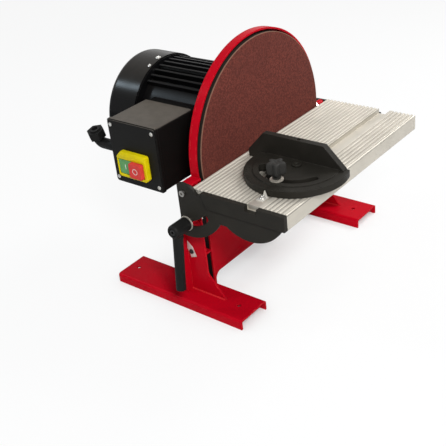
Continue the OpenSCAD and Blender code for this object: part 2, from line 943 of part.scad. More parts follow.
module front_bearing() {
    color("silver") placed() y_ring(bearing_r, bearing_bore, front_bearing_y0 + seat, front_bearing_y1);
}

module rear_bearing() {
    color("silver") placed() y_ring(rear_bearing_r, rear_shaft_r + run_fit, rear_bearing_y0, rear_bearing_y1 - seat);
}

module stator_core() {
    color("gray") placed() y_ring(body_bore - seat, rotor_r + air_gap, core_y0, core_y1);
}

module stator_winding() {
    color("peru") placed() {
        y_ring(body_bore - winding_wall, rotor_r + winding_wall, core_y0 - winding_l, core_y0);
        y_ring(body_bore - winding_wall, rotor_r + winding_wall, core_y1, core_y1 + winding_l);
    }
}

// Four corner places of the box cover's screws
module cover_corners() {
    for (y = [box_y0 + screw_inset_y, box_y1 - screw_inset_y])
        for (z = [box_z0 + screw_inset_z, box_z1 - screw_inset_z])
            translate([0, y, z]) children();
}

// The box's outline with round corners, larger by a margin all round
module box_outline(margin) {
    y0 = box_y0 - margin;
    z0 = box_z0 - margin;
    l = box_l + 2 * margin;
    h = box_h + 2 * margin;
    translate([y0 + box_corner, z0]) square([l - 2 * box_corner, h]);
    translate([y0, z0 + box_corner]) square([l, h - 2 * box_corner]);
    for (y = [y0 + box_corner, y0 + l - box_corner])
        for (z = [z0 + box_corner, z0 + h - box_corner])
            translate([y, z]) circle(box_corner);
}

module switch_box() {
    color("black") placed() difference() {
        union() {
            difference() {
                yz_plate(box_x1, box_x0 - box_x1) box_outline(0);
                block(
                    [box_x1 - over, box_y0 + box_wall, box_z0 + box_wall],
                    [box_x0 - box_wall, box_y1 - box_wall, box_z1 - box_wall]
                );
            }
            intersection() {
                yz_plate(box_x1, box_x0 - box_x1) box_outline(0);
                cover_corners() translate([box_x1, -post_side / 2, -post_side / 2])
                    cube([2 * post_side, post_side, post_side]);
            }
        }
        cover_corners() translate([box_x1 - over, 0, 0]) rotate([0, 90, 0])
            cylinder(r = box_screw_r + seat, h = box_screw_bite + over);
        translate([gland_x, box_y1 + over, gland_z]) rotate([90, 0, 0])
            cylinder(r = gland_r + seat, h = box_wall + 2 * over);
    }
}

// Cover plate with a stepped edge that stands over the box, and the window for the switch
module switch_cover() {
    bevel = cover_plate_t / 4;
    color("black") placed() difference() {
        union() {
            yz_plate(cover_face, cover_plate_t) box_outline(cover_lip - bevel);
            yz_plate(cover_face + bevel, cover_plate_t - bevel) box_outline(cover_lip);
        }
        cover_corners() translate([cover_face - over, 0, 0]) rotate([0, 90, 0])
            cylinder(r = box_screw_r + seat, h = cover_plate_t + 2 * over);
        block([cover_face - over, well_y0, well_z0], [box_x1 + over, well_y0 + well_l, well_z0 + well_h]);
    }
}

module cover_screws() {
    color("silver") placed() cover_corners() rotate([0, 90, 0]) {
        translate([0, 0, cover_face - over])
            cylinder(r = box_screw_r, h = cover_plate_t + box_screw_bite + over - seat);
        translate([0, 0, cover_face - box_screw_head_t]) cylinder(r = box_screw_head_r, h = box_screw_head_t);
    }
}

// Yellow frame with cut corners round the two buttons
module switch_frame() {
    y1 = frame_y0 + frame_l;
    z1 = frame_z0 + frame_h;
    color("gold") placed() difference() {
        yz_plate(cover_face - frame_t, frame_t) polygon([
            [frame_y0 + frame_corner / 2, frame_z0],
            [y1 - frame_corner / 3, frame_z0],
            [y1, frame_z0 + frame_corner / 3],
            [y1, z1 - frame_corner],
            [y1 - frame_corner, z1],
            [frame_y0 + frame_corner / 4, z1],
            [frame_y0, z1 - frame_corner / 4],
            [frame_y0, frame_z0 + frame_corner / 2]
        ]);
        block(
            [cover_face - frame_t - over, well_y0, well_z0],
            [cover_face + over, well_y0 + well_l, well_z0 + well_h]
        );
    }
}

// Switch block behind the cover, hollow where the buttons travel
module switch_body() {
    back = box_x1 + switch_depth;
    stop = cover_face + button_travel + button_flange + slide_gap;
    color("dimgray") placed() difference() {
        block(
            [box_x1, well_y0 - switch_side, well_z0 - switch_side],
            [back, well_y0 + well_l + switch_side, well_z0 + well_h + switch_side]
        );
        block([cover_face, well_y0, well_z0], [stop, well_y0 + well_l, well_z0 + well_h]);
    }
}

// Push button, standing out of the frame by a given length
module button(y0, proud) {
    block(
        [cover_face - frame_t - proud, y0, well_z0 + button_gap],
        [cover_face + button_flange, y0 + button_l, well_z0 + button_gap + button_h]
    );
}

module start_button() {
    color("seagreen") placed() button(well_y0 + 2 * button_gap + button_l, start_proud);
}

module stop_button() {
    color("crimson") placed() button(well_y0 + button_gap, stop_proud);
}

module run_capacitor() {
    y0 = box_y0 + box_wall + seat;
    color("white") placed() translate([capacitor_x, y0, capacitor_z]) rotate([-90, 0, 0])
        cylinder(r = capacitor_r, h = capacitor_l);
}

// Bent round bar of the gland: backwards from the box, round the bend and up to the nut
module gland_bar(r) {
    translate([0, -box_wall, 0]) rotate([-90, 0, 0]) cylinder(r = r, h = gland_back + box_wall);
    translate([0, gland_back, gland_bend]) rotate([0, 90, 0]) rotate_extrude(angle = 90)
        translate([gland_bend, 0]) circle(r);
    translate([0, gland_run, gland_bend]) cylinder(r = r, h = gland_rise - gland_bend);
}

// Elbow gland with a hexagonal collar on the box's back wall
module cable_gland() {
    color("black") placed() translate([gland_x, box_y1, gland_z]) rotate([0, -gland_lean, 0]) difference() {
        union() {
            rotate([-90, 0, 0]) cylinder(r = gland_collar_r, h = gland_collar_t, $fn = 6);
            gland_bar(gland_r);
        }
        gland_bar(gland_bore);
    }
}

module gland_nut() {
    color("black") placed() translate([gland_x, box_y1 + gland_run, gland_z]) rotate([0, -gland_lean, 0])
        translate([0, 0, gland_rise + seat]) difference() {
            union() {
                cylinder(r = gland_nut_r, h = gland_nut_h, $fn = 6);
                cylinder(r = gland_cap_r, h = gland_nut_h + gland_cap_h);
            }
            translate([0, 0, -over]) cylinder(r = gland_bore, h = gland_nut_h + gland_cap_h + 2 * over);
        }
}

module motor_shaft() {
    color("silver") placed() difference() {
        union() {
            y_bar(shaft_r, shaft_nose, front_bearing_y1 + over);
            y_bar(shoulder_r, front_bearing_y1 + slide_gap, rear_bearing_y0 - slide_gap);
            y_bar(rear_shaft_r, rear_bearing_y0 - over, fan_y0 - seat);
            y_bar(fan_shaft_r, fan_y0 - over, shaft_end);
        }
        y_bar(disc_screw_r + seat, shaft_nose - over, shaft_nose + disc_screw_bite);
    }
}

module rotor_core() {
    color("gray") placed() y_ring(rotor_r, shoulder_r + seat, core_y0, core_y1);
}

module cooling_fan() {
    color("dimgray") placed() difference() {
        union() {
            y_bar(fan_r, fan_y0, fan_y0 + fan_plate_t);
            y_bar(fan_hub_r, fan_y0, shaft_end);
            for (k = [0 : fan_blades - 1]) round_axis(k * 360 / fan_blades)
                translate([-fan_blade_t / 2, fan_y0, axis_z + fan_hub_r - over])
                    cube([fan_blade_t, fan_plate_t + fan_blade_h, fan_r - fan_hub_r]);
        }
        y_bar(fan_shaft_r + seat, fan_y0 - over, shaft_end + over);
    }
}

module disc_plate() {
    color("gray") placed() difference() {
        union() {
            y_bar(disc_r, paper_t, plate_back);
            y_bar(hub_r, plate_back - over, hub_back);
        }
        y_bar(shaft_r + seat, shaft_nose, hub_back + over);
        y_bar(disc_screw_r + seat, paper_t - over, shaft_nose + over);
        y_bar(disc_screw_head_r + seat, paper_t - over, paper_t + counterbore_d);
    }
}

module abrasive_disc() {
    color("saddlebrown") placed() y_bar(disc_r, 0, paper_t);
}

module disc_screw() {
    color("silver") placed() {
        y_bar(disc_screw_r, paper_t + counterbore_d - over, shaft_nose + disc_screw_bite - over);
        y_bar(disc_screw_head_r, paper_t + seat, paper_t + counterbore_d);
    }
}

// Grooves of the table top between two places, counted from the disc side
module grooves(y_from, y_to) {
    count = floor((y_from - y_to - first_rib) / rib_pitch);
    for (k = [0 : count])
        translate([y_from - first_rib - k * rib_pitch - groove_w, table_z - groove_d])
            square([groove_w, groove_d + over]);
}

// Section of the table: plate, two aprons, slot trough and the bevel at the disc
module table_section() {
    trough_half = slot_w / 2 + slot_wall;
    difference() {
        union() {
            polygon([
                [table_y1, table_z],
                [table_y0, table_z],
                [table_y0, table_bottom],
                [table_y0 + apron_t, table_bottom],
                [table_y0 + apron_t, table_z - top_t],
                [bevel_y - apron_t, table_z - top_t],
                [bevel_y - apron_t, table_bottom],
                [bevel_y, table_bottom],
                [table_y1, table_z - edge_t]
            ]);
            translate([slot_mid - trough_half, table_z - slot_d - slot_floor])
                square([2 * trough_half, slot_d + slot_floor - over]);
        }
        translate([slot_mid - slot_w / 2, table_z - slot_d]) square([slot_w, slot_d + over]);
        grooves(table_y1, slot_mid + trough_half);
        grooves(slot_mid - trough_half, table_y0);
    }
}

// Two places of the ledge screws under the left end of the table
module ledge_places() {
    for (y = [ledge_y0 + ledge_screw_inset, ledge_y1 - ledge_screw_inset])
        translate([-table_end + ledge_l / 2, y, ledge_z]) children();
}

module table_top() {
    color("gainsboro") difference() {
        placed() yz_plate(-table_end, table_l) table_section();
        for (side = [0, 1]) on_side(side) ledge_places()
            cylinder(r = ledge_screw_r + seat, h = ledge_t + ledge_screw_bite);
    }
}

// Half ring about the tilt axis between two angles from straight down to the front
module arc_slot(r, half_w, a0, a1) {
    steps = 3;
    reach = 2 * r;
    intersection() {
        difference() {
            circle(r + half_w);
            circle(r - half_w);
        }
        polygon(concat([[0, 0]], [for (k = [0 : steps]) let (a = a0 + (a1 - a0) * k / steps)
            [-reach * sin(a), -reach * cos(a)]]));
    }
    for (a = [a0, a1]) translate([-r * sin(a), -r * cos(a)]) circle(half_w);
}

// Notch that lets the gauge's bar out of the table's end
module gauge_notch(extra) {
    deep = slot_d + slide_gap + extra;
    translate([slot_mid - slot_w / 2 - slide_gap, table_z - deep]) square([slot_w + 2 * slide_gap, deep + over]);
}

// Outline of a trunnion: lobe, quadrant, web, beam and skirt, below a beam top and a crown
module trunnion_outline(top, crown, front, notch) {
    difference() {
        union() {
            intersection() {
                translate([pivot_y, pivot_z]) {
                    circle(lobe_r);
                    intersection() {
                        circle(quadrant_r);
                        translate([-quadrant_r, -quadrant_r]) square([quadrant_r + lobe_r, quadrant_r]);
                    }
                    polygon([
                        [-lobe_run, top - pivot_z],
                        [-lobe_run * lobe_dip_shares[0], lobe_r * lobe_dip_shares[1]],
                        [-lobe_r * lobe_brow_shares[0], lobe_r * lobe_brow_shares[1]],
                        [-lobe_r * lobe_crown_shares[0], lobe_r * lobe_crown_shares[1]],
                        [0, lobe_r - over],
                        [0, -lobe_r],
                        [-lobe_run, -lobe_r]
                    ]);
                }
                translate([-table_w, -table_w]) square([table_w + pivot_y + rear_reach, table_w + crown]);
            }
            translate([front, beam_bottom]) square([pivot_y - front - lobe_run + over, top - beam_bottom]);
            translate([skirt_start - over, beam_bottom - web_drop]) square([web_l, web_drop + over]);
            intersection() {
                translate([skirt_mid, skirt_z]) circle(skirt_r);
                translate([front, skirt_z - skirt_r]) square([skirt_start - front, skirt_drop + over]);
            }
        }
        translate([pivot_y, pivot_z]) arc_slot(clamp_r, slot_half_w, -slot_end_spare, tilt_max + slot_end_spare);
        gauge_notch(notch);
    }
}

// Raised beam of the trunnion, with a slanted back end and the gauge's notch
module beam_outline(top, front, notch) {
    beam_end = pivot_y - lobe_run;
    difference() {
        polygon([
            [front, beam_bottom],
            [beam_end - beam_slant, beam_bottom],
            [beam_end, top],
            [front, top]
        ]);
        gauge_notch(notch);
    }
}

module trunnion(top, ridge, crown, front, notch) {
    color("black") difference() {
        union() {
            yz_plate(-trunnion_out, trunnion_t) trunnion_outline(top, crown, front, notch);
            yz_plate(-trunnion_out - beam_proud, beam_proud + trunnion_t) beam_outline(ridge, front, notch);
            block([-trunnion_in - over, ledge_y0, ledge_z], [-table_end + ledge_l, ledge_y1, ledge_z + ledge_t]);
        }
        x_bar(pivot_r + run_fit, -trunnion_out - over, -trunnion_in + over, pivot_y, pivot_z);
        ledge_places() translate([0, 0, -over]) cylinder(r = ledge_screw_r + seat, h = ledge_t + 2 * over);
    }
}

module left_trunnion() {
    on_side(0) trunnion(beam_top, left_beam_top, pivot_z + lobe_r + over, table_y0, 0);
}

module right_trunnion() {
    top = beam_top - right_drop;
    on_side(1) trunnion(top, top, right_top, table_y0 + right_front, right_notch);
}

module trunnion_screws() {
    head_t = ledge_screw_r * 1.4;
    color("silver") for (side = [0, 1]) on_side(side) ledge_places() {
        translate([0, 0, -over]) cylinder(r = ledge_screw_r, h = ledge_t + ledge_screw_bite + over - seat);
        translate([0, 0, -head_t]) cylinder(r = 2 * ledge_screw_r, h = head_t);
    }
}

// Clamp lever: a hub on the stud and an arm that hangs from its outer end
module lever() {
    color("black") difference() {
        union() {
            x_bar(lever_hub_r, -lever_x1, -lever_x0, pivot_y, clamp_z);
            translate([-arm_x, pivot_y, clamp_z]) rotate([0, 180 + lever_lean, 0]) {
                cylinder(r = lever_arm_r, h = lever_arm_l - arm_bevel);
                translate([0, 0, lever_arm_l - arm_bevel])
                    cylinder(r1 = lever_arm_r, r2 = lever_arm_r - arm_bevel, h = arm_bevel);
            }
        }
        x_bar(stud_r + seat, -lever_x0 - lever_bore_l, -lever_x0 + over, pivot_y, clamp_z);
        x_bar(lever_recess_r, -lever_x1 - over, lever_recess_d - lever_x1, pivot_y, clamp_z);
    }
}

module lever_stud() {
    color("silver") x_bar(stud_r, -lever_x0 - lever_bore_l + seat, nut_t - post_in_x, pivot_y, clamp_z);
}

module lever_washer() {
    color("silver") difference() {
        x_bar(washer_r, -lever_x0, washer_t - lever_x0, pivot_y, clamp_z);
        x_bar(stud_r + seat, -lever_x0 - over, washer_t - lever_x0 + over, pivot_y, clamp_z);
    }
}

module lever_screw() {
    deep = lever_recess_d - lever_x1;
    color("dimgray") difference() {
        x_bar(lever_screw_r, deep - lever_screw_d, deep, pivot_y, clamp_z);
        x_hex(socket_r, deep - lever_screw_d - over, deep - lever_screw_d + socket_d, pivot_y, clamp_z);
    }
}

module left_lever() {
    on_side(0) lever();
}

module left_lever_stud() {
    on_side(0) lever_stud();
}

module left_lever_washer() {
    on_side(0) lever_washer();
}

module left_lever_screw() {
    on_side(0) lever_screw();
}

module right_lever() {
    on_side(1) lever();
}

module right_lever_stud() {
    on_side(1) lever_stud();
}

module right_lever_washer() {
    on_side(1) lever_washer();
}

module right_lever_screw() {
    on_side(1) lever_screw();
}

// Where the gauge's pointer is screwed to the bar
function hint_x() = gauge_x - gauge_r - gauge_hint_gap - gauge_hint_foot / 2;

module gauge_bar() {
    color("silver") placed() difference() {
        block(
            [gauge_x0, slot_mid - bar_w / 2, bar_z],
            [gauge_x0 + bar_l, slot_mid + bar_w / 2, bar_top]
        );
        z_bar(gauge_pin_r + seat, bar_top - gauge_bite, bar_top + over, gauge_x, slot_mid);
        z_bar(knob_stud_r + run_fit, bar_top - gauge_bite, bar_top + over, knob_x, slot_mid);
        z_bar(gauge_hint_screw_r + seat, bar_top - gauge_bite, bar_top + over, hint_x(), slot_mid);
    }
}

// Bent pointer: a foot on the bar and an upright tip beside the protractor's rim
module gauge_pointer() {
    x0 = hint_x() - gauge_hint_foot / 2;
    x1 = x0 + gauge_hint_foot;
    tip = bar_top + gauge_hint_rise;
    color("white") placed() difference() {
        union() {
            block(
                [x0, slot_mid - gauge_hint_w / 2, bar_top],
                [x1, slot_mid + gauge_hint_w / 2, bar_top + gauge_hint_t]
            );
            yz_plate(x1 - gauge_hint_t, gauge_hint_t) polygon([
                [slot_mid - gauge_hint_w / 3, bar_top],
                [slot_mid + gauge_hint_w / 3, bar_top],
                [slot_mid + gauge_hint_tip_w / 2, tip],
                [slot_mid - gauge_hint_tip_w / 2, tip]
            ]);
        }
        z_bar(gauge_hint_screw_r + seat, bar_top - over, bar_top + gauge_hint_t + over, hint_x(), slot_mid);
    }
}

// Pivot screw of the protractor and the pointer's screw
module gauge_screws() {
    head = gauge_top + slide_gap;
    hint_top = bar_top + gauge_hint_t;
    color("silver") placed() {
        z_bar(gauge_pin_r, bar_top - gauge_bite + seat, head + over, gauge_x, slot_mid);
        z_bar(gauge_pin_head_r, head, head + gauge_pin_head_t, gauge_x, slot_mid);
        z_bar(gauge_hint_screw_r, bar_top - gauge_bite + seat, hint_top + over, hint_x(), slot_mid);
        z_bar(gauge_hint_head_r, hint_top, hint_top + gauge_hint_head_t, hint_x(), slot_mid);
    }
}

// Protractor base: a round plate cut at the fence, with a lowered scale rim and an arc slot
module gauge_head() {
    arc = swing_max + slot_end_spare;
    color("black") placed() translate([gauge_x, slot_mid, 0]) difference() {
        union() {
            intersection() {
                union() {
                    translate([0, 0, gauge_z]) cylinder(r = gauge_r, h = gauge_t - rim_rise);
                    translate([0, 0, gauge_z]) cylinder(r = gauge_r - rim_step, h = gauge_t);
                }
                translate([-gauge_r - over, -2 * gauge_r, gauge_z - over])
                    cube([gauge_r + fence_ahead + over, 4 * gauge_r, gauge_t + 2 * over]);
            }
            translate([fence_x0 - gauge_x, 0, 0]) rotate([90, 0, 90]) linear_extrude(fence_t) polygon([
                [fence_y0 - slot_mid, gauge_z],
                [fence_y1 - slot_mid, gauge_z],
                [fence_y1 - slot_mid, table_z + fence_end_h],
                [fence_y1 - slot_mid - fence_chamfer_back, table_z + fence_h],
                [fence_y0 - slot_mid + fence_chamfer_front, table_z + fence_h],
                [fence_y0 - slot_mid, table_z + fence_end_h]
            ]);
        }
        translate([0, 0, gauge_z - over]) cylinder(r = gauge_pin_r + run_fit, h = gauge_t + 2 * over);
        translate([0, 0, gauge_z - over]) linear_extrude(gauge_t + 2 * over) rotate(-90)
            arc_slot(gauge_slot_r, knob_stud_r + gauge_slot_room, -arc, arc);
        translate([
            fence_ahead - fence_t / 2,
            fence_y0 - slot_mid + fence_l * fence_hole_share,
            table_z + fence_h - fence_hole_d
        ])
            cylinder(r = fence_hole_r, h = fence_hole_d + over);
    }
}

// Star knob with round lobes on a neck
module gauge_knob() {
    z1 = knob_z + knob_neck_h;
    ring = knob_r - knob_lobe_r;
    color("black") placed() translate([knob_x, slot_mid, 0]) difference() {
        union() {
            translate([0, 0, knob_z]) cylinder(r = knob_neck_r, h = knob_neck_h + over);
            translate([0, 0, z1]) linear_extrude(knob_h) {
                circle(ring);
                for (k = [0 : knob_lobes - 1])
                    rotate(k * 360 / knob_lobes) translate([ring, 0]) circle(knob_lobe_r);
            }
        }
        translate([0, 0, knob_z - over]) cylinder(r = knob_stud_r + seat, h = knob_neck_h + knob_bite + over);
    }
}

module gauge_knob_stud() {
    color("silver") placed()
        z_bar(
            knob_stud_r, bar_top - gauge_bite + slide_gap, knob_z + knob_neck_h + knob_bite - seat, knob_x, slot_mid
        );
}

module gauge_washer() {
    z0 = gauge_top + slide_gap;
    color("silver") placed() difference() {
        z_bar(knob_washer_r, z0, z0 + knob_washer_t, knob_x, slot_mid);
        z_bar(knob_stud_r + seat, z0 - over, z0 + knob_washer_t + over, knob_x, slot_mid);
    }
}

left_foot();
right_foot();
guard_panel();
guard_rim();
left_side_plate();
right_side_plate();
left_post();
right_post();
table_spacers();
post_nuts();
pivot_bolts();
angle_pointers();
pointer_screws();
dust_outlet();
front_bell();
motor_body();
rear_bell();
fan_cover();
fan_cover_screws();
tie_rods();
flange_bolts();
front_bearing();
rear_bearing();
stator_core();
stator_winding();
switch_box();
switch_cover();
cover_screws();
switch_frame();
switch_body();
start_button();
stop_button();
run_capacitor();
cable_gland();
gland_nut();
motor_shaft();
rotor_core();
cooling_fan();
disc_plate();
abrasive_disc();
disc_screw();
table_top();
left_trunnion();
right_trunnion();
trunnion_screws();
left_lever();
left_lever_stud();
left_lever_washer();
left_lever_screw();
right_lever();
right_lever_stud();
right_lever_washer();
right_lever_screw();
gauge_bar();
gauge_pointer();
gauge_screws();
gauge_head();
gauge_knob();
gauge_knob_stud();
gauge_washer();
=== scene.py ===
"""Looks of a benchtop disc sander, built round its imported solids."""

import logging
import math
from dataclasses import dataclass
from enum import Enum

import bmesh
import bpy
import numpy as np
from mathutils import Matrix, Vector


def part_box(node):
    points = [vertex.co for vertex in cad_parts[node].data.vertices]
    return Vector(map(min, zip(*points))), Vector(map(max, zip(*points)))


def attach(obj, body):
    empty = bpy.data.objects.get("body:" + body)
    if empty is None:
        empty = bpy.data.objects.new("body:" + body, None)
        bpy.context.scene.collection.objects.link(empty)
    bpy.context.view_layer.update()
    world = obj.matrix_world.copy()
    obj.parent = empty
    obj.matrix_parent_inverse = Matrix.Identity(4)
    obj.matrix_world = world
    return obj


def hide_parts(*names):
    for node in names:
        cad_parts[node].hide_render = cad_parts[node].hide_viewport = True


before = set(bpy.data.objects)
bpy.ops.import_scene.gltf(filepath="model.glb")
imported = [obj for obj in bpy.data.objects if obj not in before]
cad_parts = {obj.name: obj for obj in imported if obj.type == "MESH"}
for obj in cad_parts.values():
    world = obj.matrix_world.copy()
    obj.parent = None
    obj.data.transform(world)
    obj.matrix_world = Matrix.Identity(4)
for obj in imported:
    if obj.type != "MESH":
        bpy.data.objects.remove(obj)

LOG = logging.getLogger("disc_sander")
MM = 0.001
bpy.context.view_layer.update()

# A colour in linear light, a place in metres, and the two ends of a smooth step
Colour = tuple[float, float, float]
Place = tuple[float, float, float]
Band = tuple[float, float]

WHITE = (1.0, 1.0, 1.0)
X_AXIS = np.array([1.0, 0.0, 0.0])
Z_AXIS = np.array([0.0, 0.0, 1.0])

# Limits of the surface work: steep axis, crease, merged points, sliver, least slope, rounded share of a leg
STEEP = 0.9
CREASE = math.radians(38)
MERGE = 1e-6
SLIVER = 1e-7
TINY = 1e-9
LEG_SHARE = 0.49


def srgb(red: int, green: int, blue: int) -> Colour:
    """Turns a screen colour of 0 to 255 into linear light."""
    share = np.array([red, green, blue]) / 255.0
    linear = np.where(share <= 0.04045, share / 12.92, ((share + 0.055) / 1.055) ** 2.4)
    return tuple(float(v) for v in linear)


def shaded(colour: Colour, share: float) -> Colour:
    """Colour whose light is scaled by a share."""
    return tuple(share * v for v in colour)


class Side(Enum):
    """The two ends of the table, as seen by the operator."""

    LEFT = -1
    RIGHT = 1


class Mark(Enum):
    """White sign on a push button."""

    BAR = "bar"
    RING = "ring"


class Detail(Enum):
    """Octaves of a noise."""

    PLAIN = 2.0
    USUAL = 3.0
    RICH = 4.0


# Shader sheet


class Wire:
    """An output socket that takes part in sums; each sum adds a Math node."""

    def __init__(self, sheet: "Sheet", socket: bpy.types.NodeSocket) -> None:
        """Keeps the sheet and the socket."""
        self.sheet = sheet
        self.socket = socket

    def _math(self, operation: str, first: "Wire | float", second: "Wire | float") -> "Wire":
        """Adds one Math node.

        Args:
            operation: Blender's name of the operation.
            first: Left operand.
            second: Right operand.

        Returns:
            The node's value.
        """
        node = self.sheet.add("ShaderNodeMath", {"operation": operation}, {0: first, 1: second})
        return Wire(self.sheet, node.outputs[0])

    def __add__(self, other: "Wire | float") -> "Wire":
        """Sum."""
        return self._math("ADD", self, other)

    def __radd__(self, other: float) -> "Wire":
        """Sum with a number on the left."""
        return self._math("ADD", other, self)

    def __sub__(self, other: "Wire | float") -> "Wire":
        """Difference."""
        return self._math("SUBTRACT", self, other)

    def __rsub__(self, other: float) -> "Wire":
        """Difference from a number."""
        return self._math("SUBTRACT", other, self)

    def __mul__(self, other: "Wire | float") -> "Wire":
        """Product."""
        return self._math("MULTIPLY", self, other)

    def __rmul__(self, other: float) -> "Wire":
        """Product with a number on the left."""
        return self._math("MULTIPLY", other, self)

    def __pow__(self, other: float) -> "Wire":
        """Power."""
        return self._math("POWER", self, other)

    def ramp(self, low: float, high: float, start: float = 0.0, end: float = 1.0) -> "Wire":
        """Smooth step from start at low to end at high.

        Args:
            low: Value where the step begins.
            high: Value where the step ends.
            start: Result below the step.
            end: Result above the step.

        Returns:
            The stepped value.
        """
        node = self.sheet.add(
            "ShaderNodeMapRange",
            {"interpolation_type": "SMOOTHSTEP", "clamp": True},
            {"Value": self, "From Min": low, "From Max": high, "To Min": start, "To Max": end},
        )
        return Wire(self.sheet, node.outputs["Result"])


class Sheet:
    """Node tree of a material or of the world, and the few nodes that the finishes share."""

    NOISE_ROUGH = 0.55
    UPWARD_BAND: Band = (0.45, 0.95)
    EDGE_BAND: Band = (0.02, 0.28)
    BEVEL_SAMPLES = 4

    def __init__(self, owner: bpy.types.ID, shader: str, target: str) -> None:
        """Empties the owner's tree and joins a shader to its output.

        Args:
            owner: Material or world that holds the tree.
            shader: Blender's type of the shader node.
            target: Blender's type of the output node.
        """
        owner.use_nodes = True
        self.owner = owner
        self.tree = owner.node_tree
        self.tree.nodes.clear()
        self.shader = self.add(shader)
        self.target = self.add(target, None, {"Surface": self.wire(self.shader)})

    @classmethod
    def named(cls, name: str) -> "Sheet":
        """Sheet of a new material with a principled shader."""
        return cls(bpy.data.materials.new(name), "ShaderNodeBsdfPrincipled", "ShaderNodeOutputMaterial")

    def add(self, kind: str, settings: dict | None = None, inputs: dict | None = None) -> bpy.types.Node:
        """Adds a node, sets it up and feeds its sockets.

        Args:
            kind: Blender's node type.
            settings: Attributes, set before any socket.
            inputs: Socket name or number to a Wire or a value.

        Returns:
            The new node.
        """
        node = self.tree.nodes.new(kind)
        for key, value in (settings or {}).items():
            setattr(node, key, value)
        for key, value in (inputs or {}).items():
            self.feed(node.inputs[key], value)
        return node

    def feed(self, socket: bpy.types.NodeSocket, value: "Wire | float | Colour") -> None:
        """Links a Wire to a socket or sets the socket's own value."""
        if isinstance(value, Wire):
            self.tree.links.new(value.socket, socket)
        elif socket.type == "RGBA":
            socket.default_value = (*value[:3], 1.0)
        else:
            socket.default_value = value

    def wire(self, node: bpy.types.Node, output: str | int = 0) -> Wire:
        """Wraps one output of a node."""
        return Wire(self, node.outputs[output])

    def place(self) -> Wire:
        """Object coordinates, in metres."""
        return self.wire(self.add("ShaderNodeTexCoord"), "Object")

    def axis_values(self) -> tuple[Wire, Wire, Wire]:
        """Object coordinates as three values."""
        node = self.add("ShaderNodeSeparateXYZ", None, {0: self.place()})
        return self.wire(node, 0), self.wire(node, 1), self.wire(node, 2)

    def stretched(self, scale: Place) -> Wire:
        """Object coordinates, scaled along each axis."""
        node = self.add("ShaderNodeMapping", None, {"Vector": self.place(), "Scale": scale})
        return self.wire(node)

    def noise(self, scale: float, detail: Detail = Detail.USUAL, vector: Wire | None = None) -> Wire:
        """Cloudy noise around one half.

        Args:
            scale: Waves per metre.
            detail: Octaves.
            vector: Where to read it, or None for the plain place.

        Returns:
            The noise value.
        """
        inputs = {"Vector": vector or self.place(), "Scale": scale}
        inputs |= {"Detail": detail.value, "Roughness": self.NOISE_ROUGH}
        return self.wire(self.add("ShaderNodeTexNoise", None, inputs))

    def grains(self, scale: float) -> Wire:
        """Distance to the nearest of many scattered points.

        Args:
            scale: Points per metre along each axis.

        Returns:
            The distance, from 0 to about 1.
        """
        return self.wire(self.add("ShaderNodeTexVoronoi", None, {"Vector": self.place(), "Scale": scale}))

    def blend(self, share: "Wire | float", first: "Wire | Colour", second: "Wire | Colour") -> Wire:
        """Mixes two colours.

        Args:
            share: How much of the second colour shows.
            first: First colour.
            second: Second colour.

        Returns:
            The mixed colour.
        """
        node = self.add("ShaderNodeMix", {"data_type": "RGBA"}, {0: share, 6: first, 7: second})
        return self.wire(node, 2)

    def upward(self) -> Wire:
        """Mask that is 1 on faces that look up and 0 on walls."""
        plain = self.wire(self.add("ShaderNodeNewGeometry"), "Normal")
        node = self.add("ShaderNodeSeparateXYZ", None, {0: plain})
        return self.wire(node, 2).ramp(*self.UPWARD_BAND)

    def rounded(self, radius: float) -> Wire:
        """Normal that rounds sharp edges over a radius in metres."""
        return self.wire(self.add("ShaderNodeBevel", {"samples": self.BEVEL_SAMPLES}, {"Radius": radius}))

    def edges(self, radius: float) -> Wire:
        """Mask that is 1 along sharp edges and 0 on flats.

        Args:
            radius: Width of the edge band, in metres.

        Returns:
            The mask.
        """
        plain = self.wire(self.add("ShaderNodeNewGeometry"), "Normal")
        both = {0: self.rounded(radius), 1: plain}
        node = self.add("ShaderNodeVectorMath", {"operation": "DOT_PRODUCT"}, both)
        return (1.0 - self.wire(node, "Value")).ramp(*self.EDGE_BAND)

    def bumped(self, height: Wire, depth: float, normal: Wire | None = None) -> Wire:
        """Normal of a relief.

        Args:
            height: Relief from 0 to 1.
            depth: Depth of the relief, in metres.
            normal: Normal that the relief lies on.

        Returns:
            The bent normal.
        """
        inputs = {"Height": height, "Distance": depth, "Strength": 1.0}
        if normal is not None:
            inputs["Normal"] = normal
        return self.wire(self.add("ShaderNodeBump", None, inputs))

    def mix_shaders(self, share: Wire, second: bpy.types.Node) -> None:
        """Mixes a second shader over the first one.

        Args:
            share: How much of the second shader shows.
            second: Node of the second shader.
        """
        both = {0: share, 1: self.wire(self.shader), 2: self.wire(second)}
        self.feed(self.target.inputs["Surface"], self.wire(self.add("ShaderNodeMixShader", None, both)))

    def close(self, **sockets: "Wire | float | Colour") -> bpy.types.ID:
        """Feeds the shader's sockets, named with underscores for spaces.

        Args:
            **sockets: Socket values or wires.

        Returns:
            The finished material or world.
        """
        for key, value in sockets.items():
            self.feed(self.shader.inputs[key.replace("_", " ")], value)
        return self.owner


# Finishes


